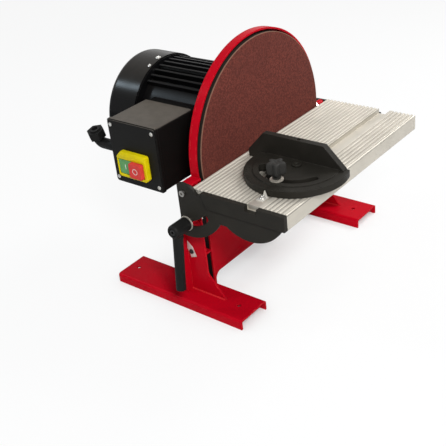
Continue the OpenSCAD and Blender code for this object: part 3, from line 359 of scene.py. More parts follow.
@dataclass(frozen=True)
class PaintFinish:
    """Sprayed paint on metal: slight orange peel, faint clouds, a paler colour along edges, dust on top. On
    the black paints the paler edges are rubbed paint; on the reds they are a painted highlight.
    """

    name: str
    colour: Colour
    rub: Colour
    gloss: float
    peel: float = 420.0
    peel_depth: float = 0.05 * MM
    edge: float = 1.2 * MM
    rub_share: float = 0.3
    shine: float = 0.015
    dust: float = 0.0
    dust_colour: Colour = srgb(112, 104, 94)
    dust_grain: float = 70.0
    dust_band: Band = (0.2, 0.75)
    dust_least: float = 0.75
    cloud: float = 9.0
    cloud_band: Band = (0.3, 0.75)
    cloud_shade: float = 0.82
    rub_grain: float = 160.0
    rub_band: Band = (0.42, 0.7)
    rub_rough: float = 0.1
    rough_band: Band = (0.25, 0.8)
    smoother: float = 0.05
    rougher: float = 0.08

    def make(self) -> bpy.types.Material:
        """Builds the material."""
        s = Sheet.named(self.name)
        clouds = s.noise(self.cloud)
        body = s.blend(clouds.ramp(*self.cloud_band), shaded(self.colour, self.cloud_shade), self.colour)
        if self.dust:
            grain = s.noise(self.dust_grain, Detail.RICH).ramp(*self.dust_band, self.dust_least, 1.0)
            body = s.blend(s.upward() * grain * self.dust, body, self.dust_colour)
        # Paler band along edges: rubbed paint on the blacks, a painted edge highlight on the red finishes.
        worn = s.noise(self.rub_grain, Detail.PLAIN).ramp(*self.rub_band)
        rub = s.edges(self.edge) * worn * self.rub_share
        rough = clouds.ramp(*self.rough_band, self.gloss - self.smoother, self.gloss + self.rougher)
        return s.close(
            Base_Color=s.blend(rub, body, self.rub),
            Roughness=rough + rub * self.rub_rough,
            Normal=s.bumped(s.noise(self.peel, Detail.PLAIN), self.peel_depth, s.rounded(self.edge)),
            Specular_IOR_Level=self.shine,
        )


@dataclass(frozen=True)
class CastFinish:
    """Black coated casting with the grain of the sand left in it."""

    name: str
    colour: Colour
    rub: Colour
    rough: float = 0.52
    grain: float = 900.0
    depth: float = 0.12 * MM
    edge: float = 1.6 * MM
    patch: float = 26.0
    patch_band: Band = (0.35, 0.75)
    pale_share: float = 1.35
    rub_grain: float = 210.0
    rub_band: Band = (0.4, 0.72)
    rub_share: float = 0.45
    rough_band: Band = (0.3, 0.75)
    smoother: float = 0.06
    rougher: float = 0.1
    shine: float = 0.1

    def make(self) -> bpy.types.Material:
        """Builds the material."""
        s = Sheet.named(self.name)
        patches = s.noise(self.patch)
        worn = s.noise(self.rub_grain, Detail.PLAIN).ramp(*self.rub_band)
        rub = s.edges(self.edge) * worn * self.rub_share
        body = s.blend(patches.ramp(*self.patch_band), self.colour, shaded(self.colour, self.pale_share))
        return s.close(
            Base_Color=s.blend(rub, body, self.rub),
            Roughness=patches.ramp(*self.rough_band, self.rough - self.smoother, self.rough + self.rougher),
            Normal=s.bumped(s.noise(self.grain, Detail.RICH), self.depth, s.rounded(self.edge)),
            Specular_IOR_Level=self.shine,
        )


@dataclass(frozen=True)
class MetalFinish:
    """Bare metal with fine tool lines drawn along one axis, and painted shade darkening its grooves."""

    name: str
    colour: Colour
    rough: float
    lines: Place = (40.0, 900.0, 900.0)
    metallic: float = 1.0
    stain: float = 0.72
    depth: float = 0.02 * MM
    edge: float = 0.4 * MM
    shade_top: float = 0.0
    groove: float = 2.6 * MM
    groove_band: Band = (0.3, 0.9)
    floor_band: Band = (1.1, 1.2)
    groove_shade: float = 0.82
    shade_run: Band = (-0.16, 0.2)
    shade_end: float = 0.25
    shade_darkness: float = 0.3
    cloud: float = 18.0
    cloud_band: Band = (0.25, 0.7)
    line_band: Band = (0.3, 0.7)
    smoother: float = 0.06
    rougher: float = 0.1

    def make(self) -> bpy.types.Material:
        """Builds the material; painted shade darkens the grooves below the shade top and fades out along X,
        so the left end reads darker.
        """
        s = Sheet.named(self.name)
        lines = s.noise(1.0, vector=s.stretched(self.lines))
        clouds = s.noise(self.cloud).ramp(*self.cloud_band)
        body = s.blend(clouds, shaded(self.colour, self.stain), self.colour)
        # Painted shade: grooves below the top are darkened, most at the left end, least toward +X.
        if self.shade_top:
            along, _, high = s.axis_values()
            below = (self.shade_top - high) * (1.0 / self.groove)
            sunk = below.ramp(*self.groove_band) * below.ramp(*self.floor_band, 1.0, 0.0)
            run = along.ramp(*self.shade_run, 1.0, self.shade_end)
            body = s.blend(sunk * run * self.groove_shade, body, shaded(self.colour, self.shade_darkness))
        return s.close(
            Base_Color=body,
            Roughness=lines.ramp(*self.line_band, self.rough - self.smoother, self.rough + self.rougher),
            Normal=s.bumped(lines, self.depth, s.rounded(self.edge)),
            Metallic=self.metallic,
        )


@dataclass(frozen=True)
class MouldedFinish:
    """Moulded plastic with a fine spark texture."""

    name: str
    colour: Colour
    rough: float = 0.36
    grain: float = 1400.0
    depth: float = 0.03 * MM
    edge: float = 0.7 * MM
    shine: float = 0.1
    cloud: float = 45.0
    cloud_band: Band = (0.3, 0.7)
    cloud_shade: float = 0.85
    smoother: float = 0.04
    rougher: float = 0.06

    def make(self) -> bpy.types.Material:
        """Builds the material."""
        s = Sheet.named(self.name)
        clouds = s.noise(self.cloud, Detail.PLAIN)
        shade = shaded(self.colour, self.cloud_shade)
        return s.close(
            Base_Color=s.blend(clouds.ramp(*self.cloud_band), shade, self.colour),
            Roughness=clouds.ramp(*self.cloud_band, self.rough - self.smoother, self.rough + self.rougher),
            Normal=s.bumped(s.noise(self.grain), self.depth, s.rounded(self.edge)),
            Specular_IOR_Level=self.shine,
        )


@dataclass(frozen=True)
class AbrasiveFinish:
    """Resin-bonded grit: scattered dark and pale grains, with a pale cut edge."""

    name: str
    colour: Colour
    pale: Colour
    dark: Colour
    edge_colour: Colour
    radius: float
    axis_height: float
    grain: float = 1500.0
    grain_share: float = 0.6
    speck: float = 1100.0
    speck_band: Band = (0.6, 0.78)
    tuft: float = 420.0
    tuft_band: Band = (0.3, 0.68)
    pale_band: Band = (0.45, 0.6)
    wear: float = 14.0
    wear_band: Band = (0.35, 0.75)
    wear_share: float = 0.35
    cut_from: float = 1.2 * MM
    cut_to: float = 0.5 * MM
    cut_share: float = 0.65
    rough_band: Band = (0.3, 0.8)
    rough: Band = (0.95, 0.7)
    depth: float = 0.4 * MM
    shine: float = 0.25

    def make(self) -> bpy.types.Material:
        """Builds the material."""
        s = Sheet.named(self.name)
        x, _, z = s.axis_values()
        high = z - self.axis_height
        reach = (x * x + high * high) ** 0.5
        speck = s.noise(self.speck, Detail.PLAIN)
        tufts = s.noise(self.tuft)
        wear = s.noise(self.wear, Detail.RICH)
        body = s.blend(tufts.ramp(*self.tuft_band), self.dark, self.colour)
        body = s.blend(speck.ramp(*self.speck_band) * tufts.ramp(*self.pale_band), body, self.pale)
        body = s.blend(wear.ramp(*self.wear_band, 0.0, self.wear_share), body, self.dark)
        cut = reach.ramp(self.radius - self.cut_from, self.radius - self.cut_to)
        relief = s.grains(self.grain) * self.grain_share + speck * (1.0 - self.grain_share)
        return s.close(
            Base_Color=s.blend(cut * self.cut_share, body, self.edge_colour),
            Roughness=speck.ramp(*self.rough_band, *self.rough),
            Normal=s.bumped(relief, self.depth),
            Specular_IOR_Level=self.shine,
        )


class Finishes:
    """Every finish of the machine, made once and shared by the nodes."""

    def __init__(self) -> None:
        """Builds all materials."""
        low, high = low_high("abrasive_disc")
        top = float(low_high("table_top")[1][2])
        worn = srgb(60, 60, 60)
        recipes = (
            # On the reds the paler edge colour is a painted highlight, not rubbed paint.
            PaintFinish("red_enamel", srgb(194, 8, 30), srgb(228, 84, 80), 0.24, rub_share=0.9, shine=0.03),
            # The weld bead's red is a paler, lit copy of the red paint: a painted highlight.
            PaintFinish("red_bead_painted_highlight", srgb(214, 44, 50), srgb(234, 110, 104), 0.28, rub_share=0.8),
            PaintFinish(
                "black_enamel", srgb(13, 13, 14), worn, 0.3,
                peel=300.0, peel_depth=0.06 * MM, shine=0.07, dust=0.03,
            ),
            PaintFinish(
                "black_gloss", srgb(12, 12, 13), worn, 0.2,
                peel=200.0, peel_depth=0.02 * MM, shine=0.09, dust=0.12,
            ),
            PaintFinish(
                "black_powder_coat", srgb(20, 19, 18), srgb(60, 58, 55), 0.46,
                peel=800.0, peel_depth=0.08 * MM, edge=1.4 * MM, shine=0.1, dust=0.55,
            ),
            CastFinish("black_casting", srgb(35, 33, 29), srgb(80, 78, 72)),
            # The table's metal has painted shade in its grooves below the top, darker toward the left end.
            MetalFinish(
                "planed_aluminium", srgb(201, 195, 183), 0.5, (30.0, 700.0, 700.0),
                metallic=0.4, stain=0.88, depth=0.03 * MM, edge=0.5 * MM, shade_top=top,
            ),
            MetalFinish(
                "zinc_plate", srgb(222, 219, 212), 0.42, (60.0, 700.0, 700.0), metallic=0.55, stain=0.88
            ),
            MetalFinish(
                "drawn_steel", srgb(200, 193, 181), 0.4, (900.0, 40.0, 900.0), metallic=0.6, stain=0.86
            ),
            MetalFinish("satin_steel", srgb(176, 173, 168), 0.34),
            MetalFinish("bright_steel", srgb(205, 203, 198), 0.27),
            MetalFinish("black_oxide", srgb(66, 66, 66), 0.38),
            MetalFinish("laminations", srgb(150, 150, 152), 0.45, (40.0, 1500.0, 40.0)),
            MetalFinish("varnished_copper", srgb(176, 104, 58), 0.4, (900.0, 60.0, 900.0)),
            MouldedFinish("yellow_moulding", srgb(226, 205, 8)),
            MouldedFinish("green_moulding", srgb(100, 160, 100)),
            MouldedFinish("red_moulding", srgb(216, 66, 62)),
            MouldedFinish("white_print", srgb(236, 236, 230), 0.5),
            MouldedFinish("black_moulding", srgb(25, 25, 24), 0.5, grain=1100.0, depth=0.06 * MM),
            MouldedFinish(
                "worn_moulding", srgb(50, 49, 47), 0.55, grain=700.0, depth=0.1 * MM, edge=1.2 * MM
            ),
            MouldedFinish("grey_moulding", srgb(96, 98, 100), 0.5),
            AbrasiveFinish(
                "brown_grit", srgb(112, 51, 41), pale=srgb(157, 90, 75), dark=srgb(78, 33, 26),
                edge_colour=srgb(150, 118, 98), radius=float(high[0] - low[0]) / 2,
                axis_height=float(high[2] + low[2]) / 2,
            ),
        )
        self.made = {recipe.name: recipe.make() for recipe in recipes}

    def dress(self, piece: bpy.types.Object, name: str) -> None:
        """Gives a piece one finish."""
        piece.data.materials.clear()
        piece.data.materials.append(self.made[name])

    def seat(self, piece: bpy.types.Object, finish: str, body: str, slot: str = "", *nodes: str) -> None:
        """Dresses a new piece and puts it on its body and, where nodes are named, in their place.

        Args:
            piece: The new piece.
            finish: Name of its finish.
            body: Body that carries it.
            slot: Material slot of the record, or nothing for a printed mark; not used.
            *nodes: Solids that the piece stands for.
        """
        self.dress(piece, finish)
        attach(piece, body)
        if nodes:
            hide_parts(*nodes)
        LOG.info("%s on %s", piece.name, body)


# Surfaces


def low_high(node: str) -> tuple[np.ndarray, np.ndarray]:
    """Lowest and highest corner of a solid, as arrays in metres."""
    low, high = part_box(node)
    return np.array(low), np.array(high)


def circle(steps: int) -> np.ndarray:
    """Evenly spaced angles of one full turn."""
    return np.linspace(0.0, 2 * np.pi, steps, endpoint=False)


def grid_of(x: np.ndarray, y: np.ndarray, z: np.ndarray) -> np.ndarray:
    """Grid of xyz points from three arrays spread over each other."""
    return np.stack(np.broadcast_arrays(x, y, z), axis=-1)


def square_axes(axis: np.ndarray) -> tuple[np.ndarray, np.ndarray, np.ndarray]:
    """Two unit directions square to an axis, and the axis itself at unit length."""
    axis = axis / np.linalg.norm(axis)
    first = np.cross(Z_AXIS if abs(axis[2]) < STEEP else X_AXIS, axis)
    first /= np.linalg.norm(first)
    return first, np.cross(axis, first), axis


def raw(name: str, points: np.ndarray, faces: list[list[int]]) -> bmesh.types.BMesh:
    """Work mesh from points and faces.

    Args:
        name: Name of the mesh that carries them over.
        points: Grid or rows of xyz.
        faces: Rows of point numbers.

    Returns:
        The work mesh.
    """
    mesh = bpy.data.meshes.new(name)
    mesh.from_pydata(points.reshape(-1, 3).tolist(), [], faces)
    work = bmesh.new()
    work.from_mesh(mesh)
    bpy.data.meshes.remove(mesh)
    return work


def settled(name: str, work: bmesh.types.BMesh, smooth: bool = True) -> bpy.types.Object:
    """Turns a work mesh outwards and links it to the scene as a new object.

    Args:
        name: Name of the new object.
        work: Work mesh; it is freed.
        smooth: True for smooth shading with creases at sharp angles.

    Returns:
        The object.
    """
    if work.calc_volume(signed=True) < 0:
        bmesh.ops.reverse_faces(work, faces=work.faces)
    mesh = bpy.data.meshes.new(name)
    work.to_mesh(mesh)
    work.free()
    if smooth:
        mesh.shade_smooth()
        mesh.set_sharp_from_angle(angle=CREASE)
    piece = bpy.data.objects.new(name, mesh)
    bpy.context.scene.collection.objects.link(piece)
    return piece


def skin(name: str, grid: np.ndarray, wrap: bool = True, caps: bool = False) -> bpy.types.Object:
    """Joins a grid of points into a surface and merges its poles.

    Args:
        name: Name of the new object.
        grid: Points as rows, columns, xyz.
        wrap: True where the last column meets the first.
        caps: True where the first and last row are closed by one flat face each.

    Returns:
        The object, linked to the scene.
    """
    rows, columns, _ = grid.shape
    index = np.arange(rows * columns).reshape(rows, columns)
    after = np.roll(index, -1, axis=1) if wrap else index[:, 1:]
    here = index if wrap else index[:, :-1]
    faces = np.stack([here[:-1], after[:-1], after[1:], here[1:]], axis=-1).reshape(-1, 4).tolist()
    if caps:
        faces += [index[0, ::-1].tolist(), index[-1].tolist()]
    work = raw(name, grid, faces)
    bmesh.ops.remove_doubles(work, verts=work.verts, dist=MERGE)
    bmesh.ops.dissolve_degenerate(work, edges=work.edges, dist=SLIVER)
    return settled(name, work)


def joined(name: str, parts: list[bpy.types.Object]) -> bpy.types.Object:
    """Puts several surfaces into one mesh.

    Args:
        name: Name of the joined object.
        parts: Objects to join; they are removed.

    Returns:
        The joined object.
    """
    work = bmesh.new()
    for part in parts:
        work.from_mesh(part.data)
        bpy.data.objects.remove(part)
    return settled(name, work)


def turned(profile: np.ndarray, centre: np.ndarray, axis: np.ndarray, steps: int = 48) -> np.ndarray:
    """Grid of a turned shape: each profile point runs round the axis.

    Args:
        profile: Rows of radius and distance along the axis.
        centre: Where the axis starts.
        axis: Direction of the axis.
        steps: Points round the axis.

    Returns:
        Grid of profile points by angles by xyz.
    """
    first, second, axis = square_axes(axis)
    angle = circle(steps)[:, None]
    ring = np.cos(angle) * first + np.sin(angle) * second
    return centre + profile[:, :1, None] * ring[None] + profile[:, 1:, None] * axis[None, None]


def soft_profile(points: list[tuple[float, ...]], radius: float, steps: int = 5) -> np.ndarray:
    """Open line of points whose inner corners are rounded by short quadratic curves.

    Args:
        points: Corner points.
        radius: How far the rounding reaches along each leg.
        steps: Points on each rounding.

    Returns:
        The rounded line.
    """
    corner = np.array(points, float)
    mid, back, ahead = corner[1:-1], corner[:-2] - corner[1:-1], corner[2:] - corner[1:-1]
    long_back = np.linalg.norm(back, axis=1, keepdims=True)
    long_ahead = np.linalg.norm(ahead, axis=1, keepdims=True)
    start = mid + back / long_back * np.minimum(radius, long_back * LEG_SHARE)
    end = mid + ahead / long_ahead * np.minimum(radius, long_ahead * LEG_SHARE)
    t = np.linspace(0.0, 1.0, steps)[None, :, None]
    curve = (1 - t) ** 2 * start[:, None] + 2 * t * (1 - t) * mid[:, None] + t**2 * end[:, None]
    return np.vstack([corner[:1], curve.reshape(-1, corner.shape[1]), corner[-1:]])


def ray_outline(corners: np.ndarray, centre: np.ndarray, angles: np.ndarray, inset: float) -> np.ndarray:
    """Where rays from a centre meet a convex outline: the nearest edge line ahead.

    Args:
        corners: Outline corners in order, counter-clockwise.
        centre: Start of the rays.
        angles: Ray angles.
        inset: How far each edge line moves inwards.

    Returns:
        One point for each ray.
    """
    ray = np.stack([np.cos(angles), np.sin(angles)], axis=1)
    edge = np.roll(corners, -1, axis=0) - corners
    normal = np.stack([edge[:, 1], -edge[:, 0]], axis=1)
    gap = np.sum(normal * (corners - centre), axis=1) - inset * np.linalg.norm(edge, axis=1)
    speed = ray @ normal.T
    reach = np.where(speed > TINY, gap / np.where(speed > TINY, speed, 1.0), np.inf).min(axis=1)
    return centre + ray * reach[:, None]


@dataclass(frozen=True)
class CrossHead:
    """Domed screw head with a cross recess, its small sizes as shares of radius and height."""

    radius: float
    height: float
    crown_share: float = 0.8
    slot_share: float = 0.13
    reach_share: float = 0.58
    blur_share: float = 0.03
    sunk_share: float = 0.55
    rings: int = 15
    facets: int = 48

    def inside(self, far: np.ndarray, edge: float) -> np.ndarray:
        """Soft mask, a logistic curve that is 1 below an edge and 0 beyond it."""
        return 1.0 / (1.0 + np.exp((far - edge) / self.blur_share))

    def grid(self, centre: np.ndarray, axis: np.ndarray) -> np.ndarray:
        """Grid of one head: a flat arc of height less a plus-shaped dip.

        Args:
            centre: Middle of the seat.
            axis: Direction out of the seat.

        Returns:
            Grid of rings by angles by xyz.
        """
        share = np.concatenate([[1.0], np.linspace(1.0, 0.0, self.rings)])[:, None]
        angle = circle(self.facets)
        across, up = share * np.cos(angle), share * np.sin(angle)
        slot = np.minimum(np.abs(across), np.abs(up))
        dip = self.inside(slot, self.slot_share) * self.inside(share, self.reach_share)
        high = self.height * (np.sqrt(1.0 - self.crown_share * share**2) - self.sunk_share * dip)
        high[0] = 0.0
        first, second, axis = square_axes(axis)
        flat = across[..., None] * first + up[..., None] * second
        base = np.repeat(centre[None, None], angle.size, axis=1)
        return np.concatenate([base, centre + self.radius * flat + high[..., None] * axis], axis=0)

    def row(self, name: str, places: np.ndarray, axes: np.ndarray) -> bpy.types.Object:
        """Sets one head at each place and joins them.

        Args:
            name: Name of the joined heads.
            places: Middle of each seat, as rows of xyz.
            axes: Direction out of each seat, as rows of xyz.

        Returns:
            The heads as one object.
        """
        pairs = zip(places, axes, strict=True)
        return joined(name, [skin(f"{name}_{k}", self.grid(*pair)) for k, pair in enumerate(pairs)])


# Sub-assemblies


@dataclass
class Carcass:
    """Solids that keep their own shape: each one gets its finish."""

    finishes: Finishes

    def dress(self) -> None:
        """Gives every solid its finish."""
        plan = {
            "red_enamel": "left_foot right_foot guard_panel guard_rim left_post right_post table_spacers "
            "dust_outlet",
            "black_powder_coat": "switch_box switch_cover left_side_plate right_side_plate",
            "black_enamel": "front_bell motor_body rear_bell",
            "black_gloss": "fan_cover",
            "black_casting": "left_trunnion right_trunnion gauge_head disc_plate",
            "planed_aluminium": "table_top",
            "zinc_plate": "angle_pointers gauge_pointer",
            "drawn_steel": "gauge_bar gauge_washer left_lever_washer right_lever_washer",
            "satin_steel": "pivot_bolts pointer_screws",
            "bright_steel": "post_nuts fan_cover_screws tie_rods flange_bolts cover_screws motor_shaft "
            "disc_screw trunnion_screws left_lever_stud right_lever_stud gauge_screws gauge_knob_stud "
            "front_bearing rear_bearing",
            "black_oxide": "left_lever_screw right_lever_screw",
            "laminations": "stator_core rotor_core",
            "varnished_copper": "stator_winding",
            "yellow_moulding": "switch_frame",
            "grey_moulding": "switch_body run_capacitor cooling_fan",
            "green_moulding": "start_button",
            "red_moulding": "stop_button",
            "black_moulding": "cable_gland gland_nut left_lever right_lever gauge_knob",
            "brown_grit": "abrasive_disc",
        }
        for finish, names in plan.items():
            for name in names.split():
                self.finishes.dress(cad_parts[name], finish)
                LOG.info("%s in %s", name, finish)


@dataclass
class Stand:
    """Weld beads where the posts stand on the feet."""

    finishes: Finishes
    bead: float = 1.7 * MM
    ripple: float = 0.18
    pitch: float = 4.5 * MM
    nut: float = 6.0 * MM
    sheet: float = 3.0 * MM
    steps: int = 160
    facets: int = 16

    def weld(self, name: str, start: np.ndarray, end: np.ndarray) -> bpy.types.Object:
        """Bead along a line: a round section whose radius swells with each ripple.

        Args:
            name: Name of the bead.
            start: First point of the line.
            end: Last point of the line.

        Returns:
            The bead.
        """
        run = end - start
        length = float(np.linalg.norm(run))
        s = np.linspace(0.0, length, self.steps)
        ends = np.clip(np.minimum(s, length - s) / self.bead, 0.0, 1.0)
        swell = 1.0 + self.ripple * np.sin(2 * np.pi * s / self.pitch)
        profile = np.column_stack([self.bead * swell * np.sqrt(1.0 - (1.0 - ends) ** 2), s])
        return skin(name, turned(profile, start, run, self.facets))

    def build(self) -> None:
        """Lays a bead on both faces of each post's foot."""
        for side in Side:
            label = side.name.lower()
            low, high = low_high(f"{label}_post")
            top = low_high(f"{label}_foot")[1][2]
            inner = low_high(f"{label}_lever_stud")[1 if side is Side.LEFT else 0][0]
            face = inner + side.value * self.nut
            ends = (low[1] + self.bead, high[1])
            beads = [
                self.weld(f"{label}_bead_{k}", *(np.array([x, y, top]) for y in ends))
                for k, x in enumerate((face, face + side.value * self.sheet))
            ]
            piece = joined(f"{label}_post_weld", beads)
            # The beads take the paler red, a painted highlight.
            self.finishes.seat(piece, "red_bead_painted_highlight", "base", "red_paint")


@dataclass
class RibbedTable:
    """Cast table: one ribbed section carried along X, with a gauge slot and a hollow underside."""

    finishes: Finishes
    first_rib: float = 4.0 * MM
    pitch: float = 7.0 * MM
    groove: float = 2.6 * MM
    depth: float = 2.6 * MM
    shoulder: float = 0.8 * MM
    flatness: float = 0.75
    rear_grooves: int = 14
    rear_steps: int = 440
    front_grooves: int = 6
    front_steps: int = 200
    slot_in: float = 109.7 * MM
    slot_half: float = 10.0 * MM
    slot_depth: float = 8.4 * MM
    trough: float = 3.0 * MM
    plate: float = 8.0 * MM
    apron: float = 6.0 * MM
    edge: float = 7.32 * MM
    nose: float = 2.4 * MM
    nose_steps: int = 9
    lip: float = 0.4 * MM

    def relief(self, y: np.ndarray, start: float, count: int) -> np.ndarray:
        """Depth of the grooves: half a cosine wave about the nearest groove's middle, to a power.

        Args:
            y: Places across the table.
            start: Edge from which the grooves are counted.
            count: Number of grooves.

        Returns:
            Depth at each place.
        """
        middle = start - self.first_rib - self.groove / 2 - self.pitch * np.arange(count)
        away = np.abs(y[:, None] - middle[None]).min(axis=1)
        reach = self.groove / 2 + self.shoulder
        wave = 0.5 + 0.5 * np.cos(np.pi * np.clip(away / reach, 0.0, 1.0))
        return self.depth * wave**self.flatness

    def section(self) -> np.ndarray:
        """Closed outline in Y and Z: ribbed top, slot, round front edge, aprons and bevel."""
        low, high = low_high("table_top")
        back, front, top, bottom = high[1], low[1], high[2], low[2]
        slot = back - self.slot_in
        wall, floor = self.slot_half + self.trough, top - self.slot_depth
        rear = np.linspace(back - self.lip, slot + self.slot_half + self.lip, self.rear_steps)
        fore = np.linspace(slot - self.slot_half - self.lip, front + self.nose, self.front_steps)
        turn = np.linspace(0.0, np.pi / 2, self.nose_steps)[1:]
        run = top - bottom - self.edge
        inner = back - run - self.apron
        parts = [
            np.column_stack([rear, top - self.relief(rear, back, self.rear_grooves)]),
            [(slot + self.slot_half, top - self.lip), (slot + self.slot_half, floor)],
            [(slot - self.slot_half, floor), (slot - self.slot_half, top - self.lip)],
            np.column_stack([fore, top - self.relief(fore, slot - wall, self.front_grooves)]),
            np.column_stack([front + self.nose * (1 - np.sin(turn)), top - self.nose * (1 - np.cos(turn))]),
            [(front, bottom), (front + self.apron, bottom), (front + self.apron, top - self.plate)],
            [(slot - wall, top - self.plate), (slot - wall, floor - self.trough)],
            [(slot + wall, floor - self.trough), (slot + wall, top - self.plate), (inner, top - self.plate)],
            [(inner, bottom), (back - run, bottom), (back, top - self.edge), (back, top - self.lip)],
        ]
        return np.vstack([np.asarray(part) for part in parts])

    def build(self) -> None:
        """Carries the section along the table."""
        low, high = low_high("table_top")
        line = self.section()
        ends = np.array([[low[0]], [high[0]]])
        piece = skin("ribbed_table", grid_of(ends, line[:, 0], line[:, 1]), caps=True)
        self.finishes.seat(piece, "planed_aluminium", "table", "cast_aluminium", "table_top")


@dataclass
class ClampLever:
    """Moulded clamp lever: a turned hub and a round arm that leaves it through a short collar."""

    finishes: Finishes
    side: Side
    hub_radius: float = 11.0 * MM
    hub_length: float = 32.0 * MM
    hub_foot: float = 0.88 * MM
    hub_crown: float = 3.3 * MM
    hub_top: float = 8.58 * MM
    hub_round: float = 2.0 * MM
    hub_facets: int = 64
    arm_radius: float = 8.0 * MM
    arm_length: float = 101.0 * MM
    arm_tip: float = 7.68 * MM
    arm_at: float = 19.8 * MM
    arm_round: float = 1.1 * MM
    collar: float = 8.6 * MM
    collar_end: float = 12.76 * MM
    neck_end: float = 14.96 * MM
    lean: float = math.radians(6.0)
    recess: float = 6.0 * MM
    recess_depth: float = 7.0 * MM

    def build(self) -> None:
        """Turns the hub and the arm and joins them."""
        label, out = self.side.name.lower(), float(self.side.value)
        low, high = low_high(f"{label}_lever_washer")
        start = (low + high) / 2
        start[0] = low[0] if out < 0 else high[0]
        r, long, sunk = self.hub_radius, self.hub_length, self.hub_length - self.recess_depth
        hub = soft_profile(
            [
                (0, 0), (r - self.hub_foot, 0), (r, self.hub_foot), (r, long - self.hub_crown),
                (self.hub_top, long), (self.recess, long), (self.recess, sunk), (0, sunk),
            ],
            self.hub_round,
        )
        arm = soft_profile(
            [
                (0, 0), (self.collar, 0), (self.collar, self.collar_end), (self.arm_radius, self.neck_end),
                (self.arm_tip, self.arm_length), (0, self.arm_length),
            ],
            self.arm_round,
        )
        away = np.array([out * math.sin(self.lean), 0.0, -math.cos(self.lean)])
        root = start + out * self.arm_at * X_AXIS
        parts = [
            skin(f"{label}_hub", turned(hub, start, out * X_AXIS, self.hub_facets)),
            skin(f"{label}_arm", turned(arm, root, away)),
        ]
        piece = joined(f"{label}_lever_moulding", parts)
        self.finishes.seat(piece, "black_moulding", f"{label}_clamp", "black_plastic", f"{label}_lever")


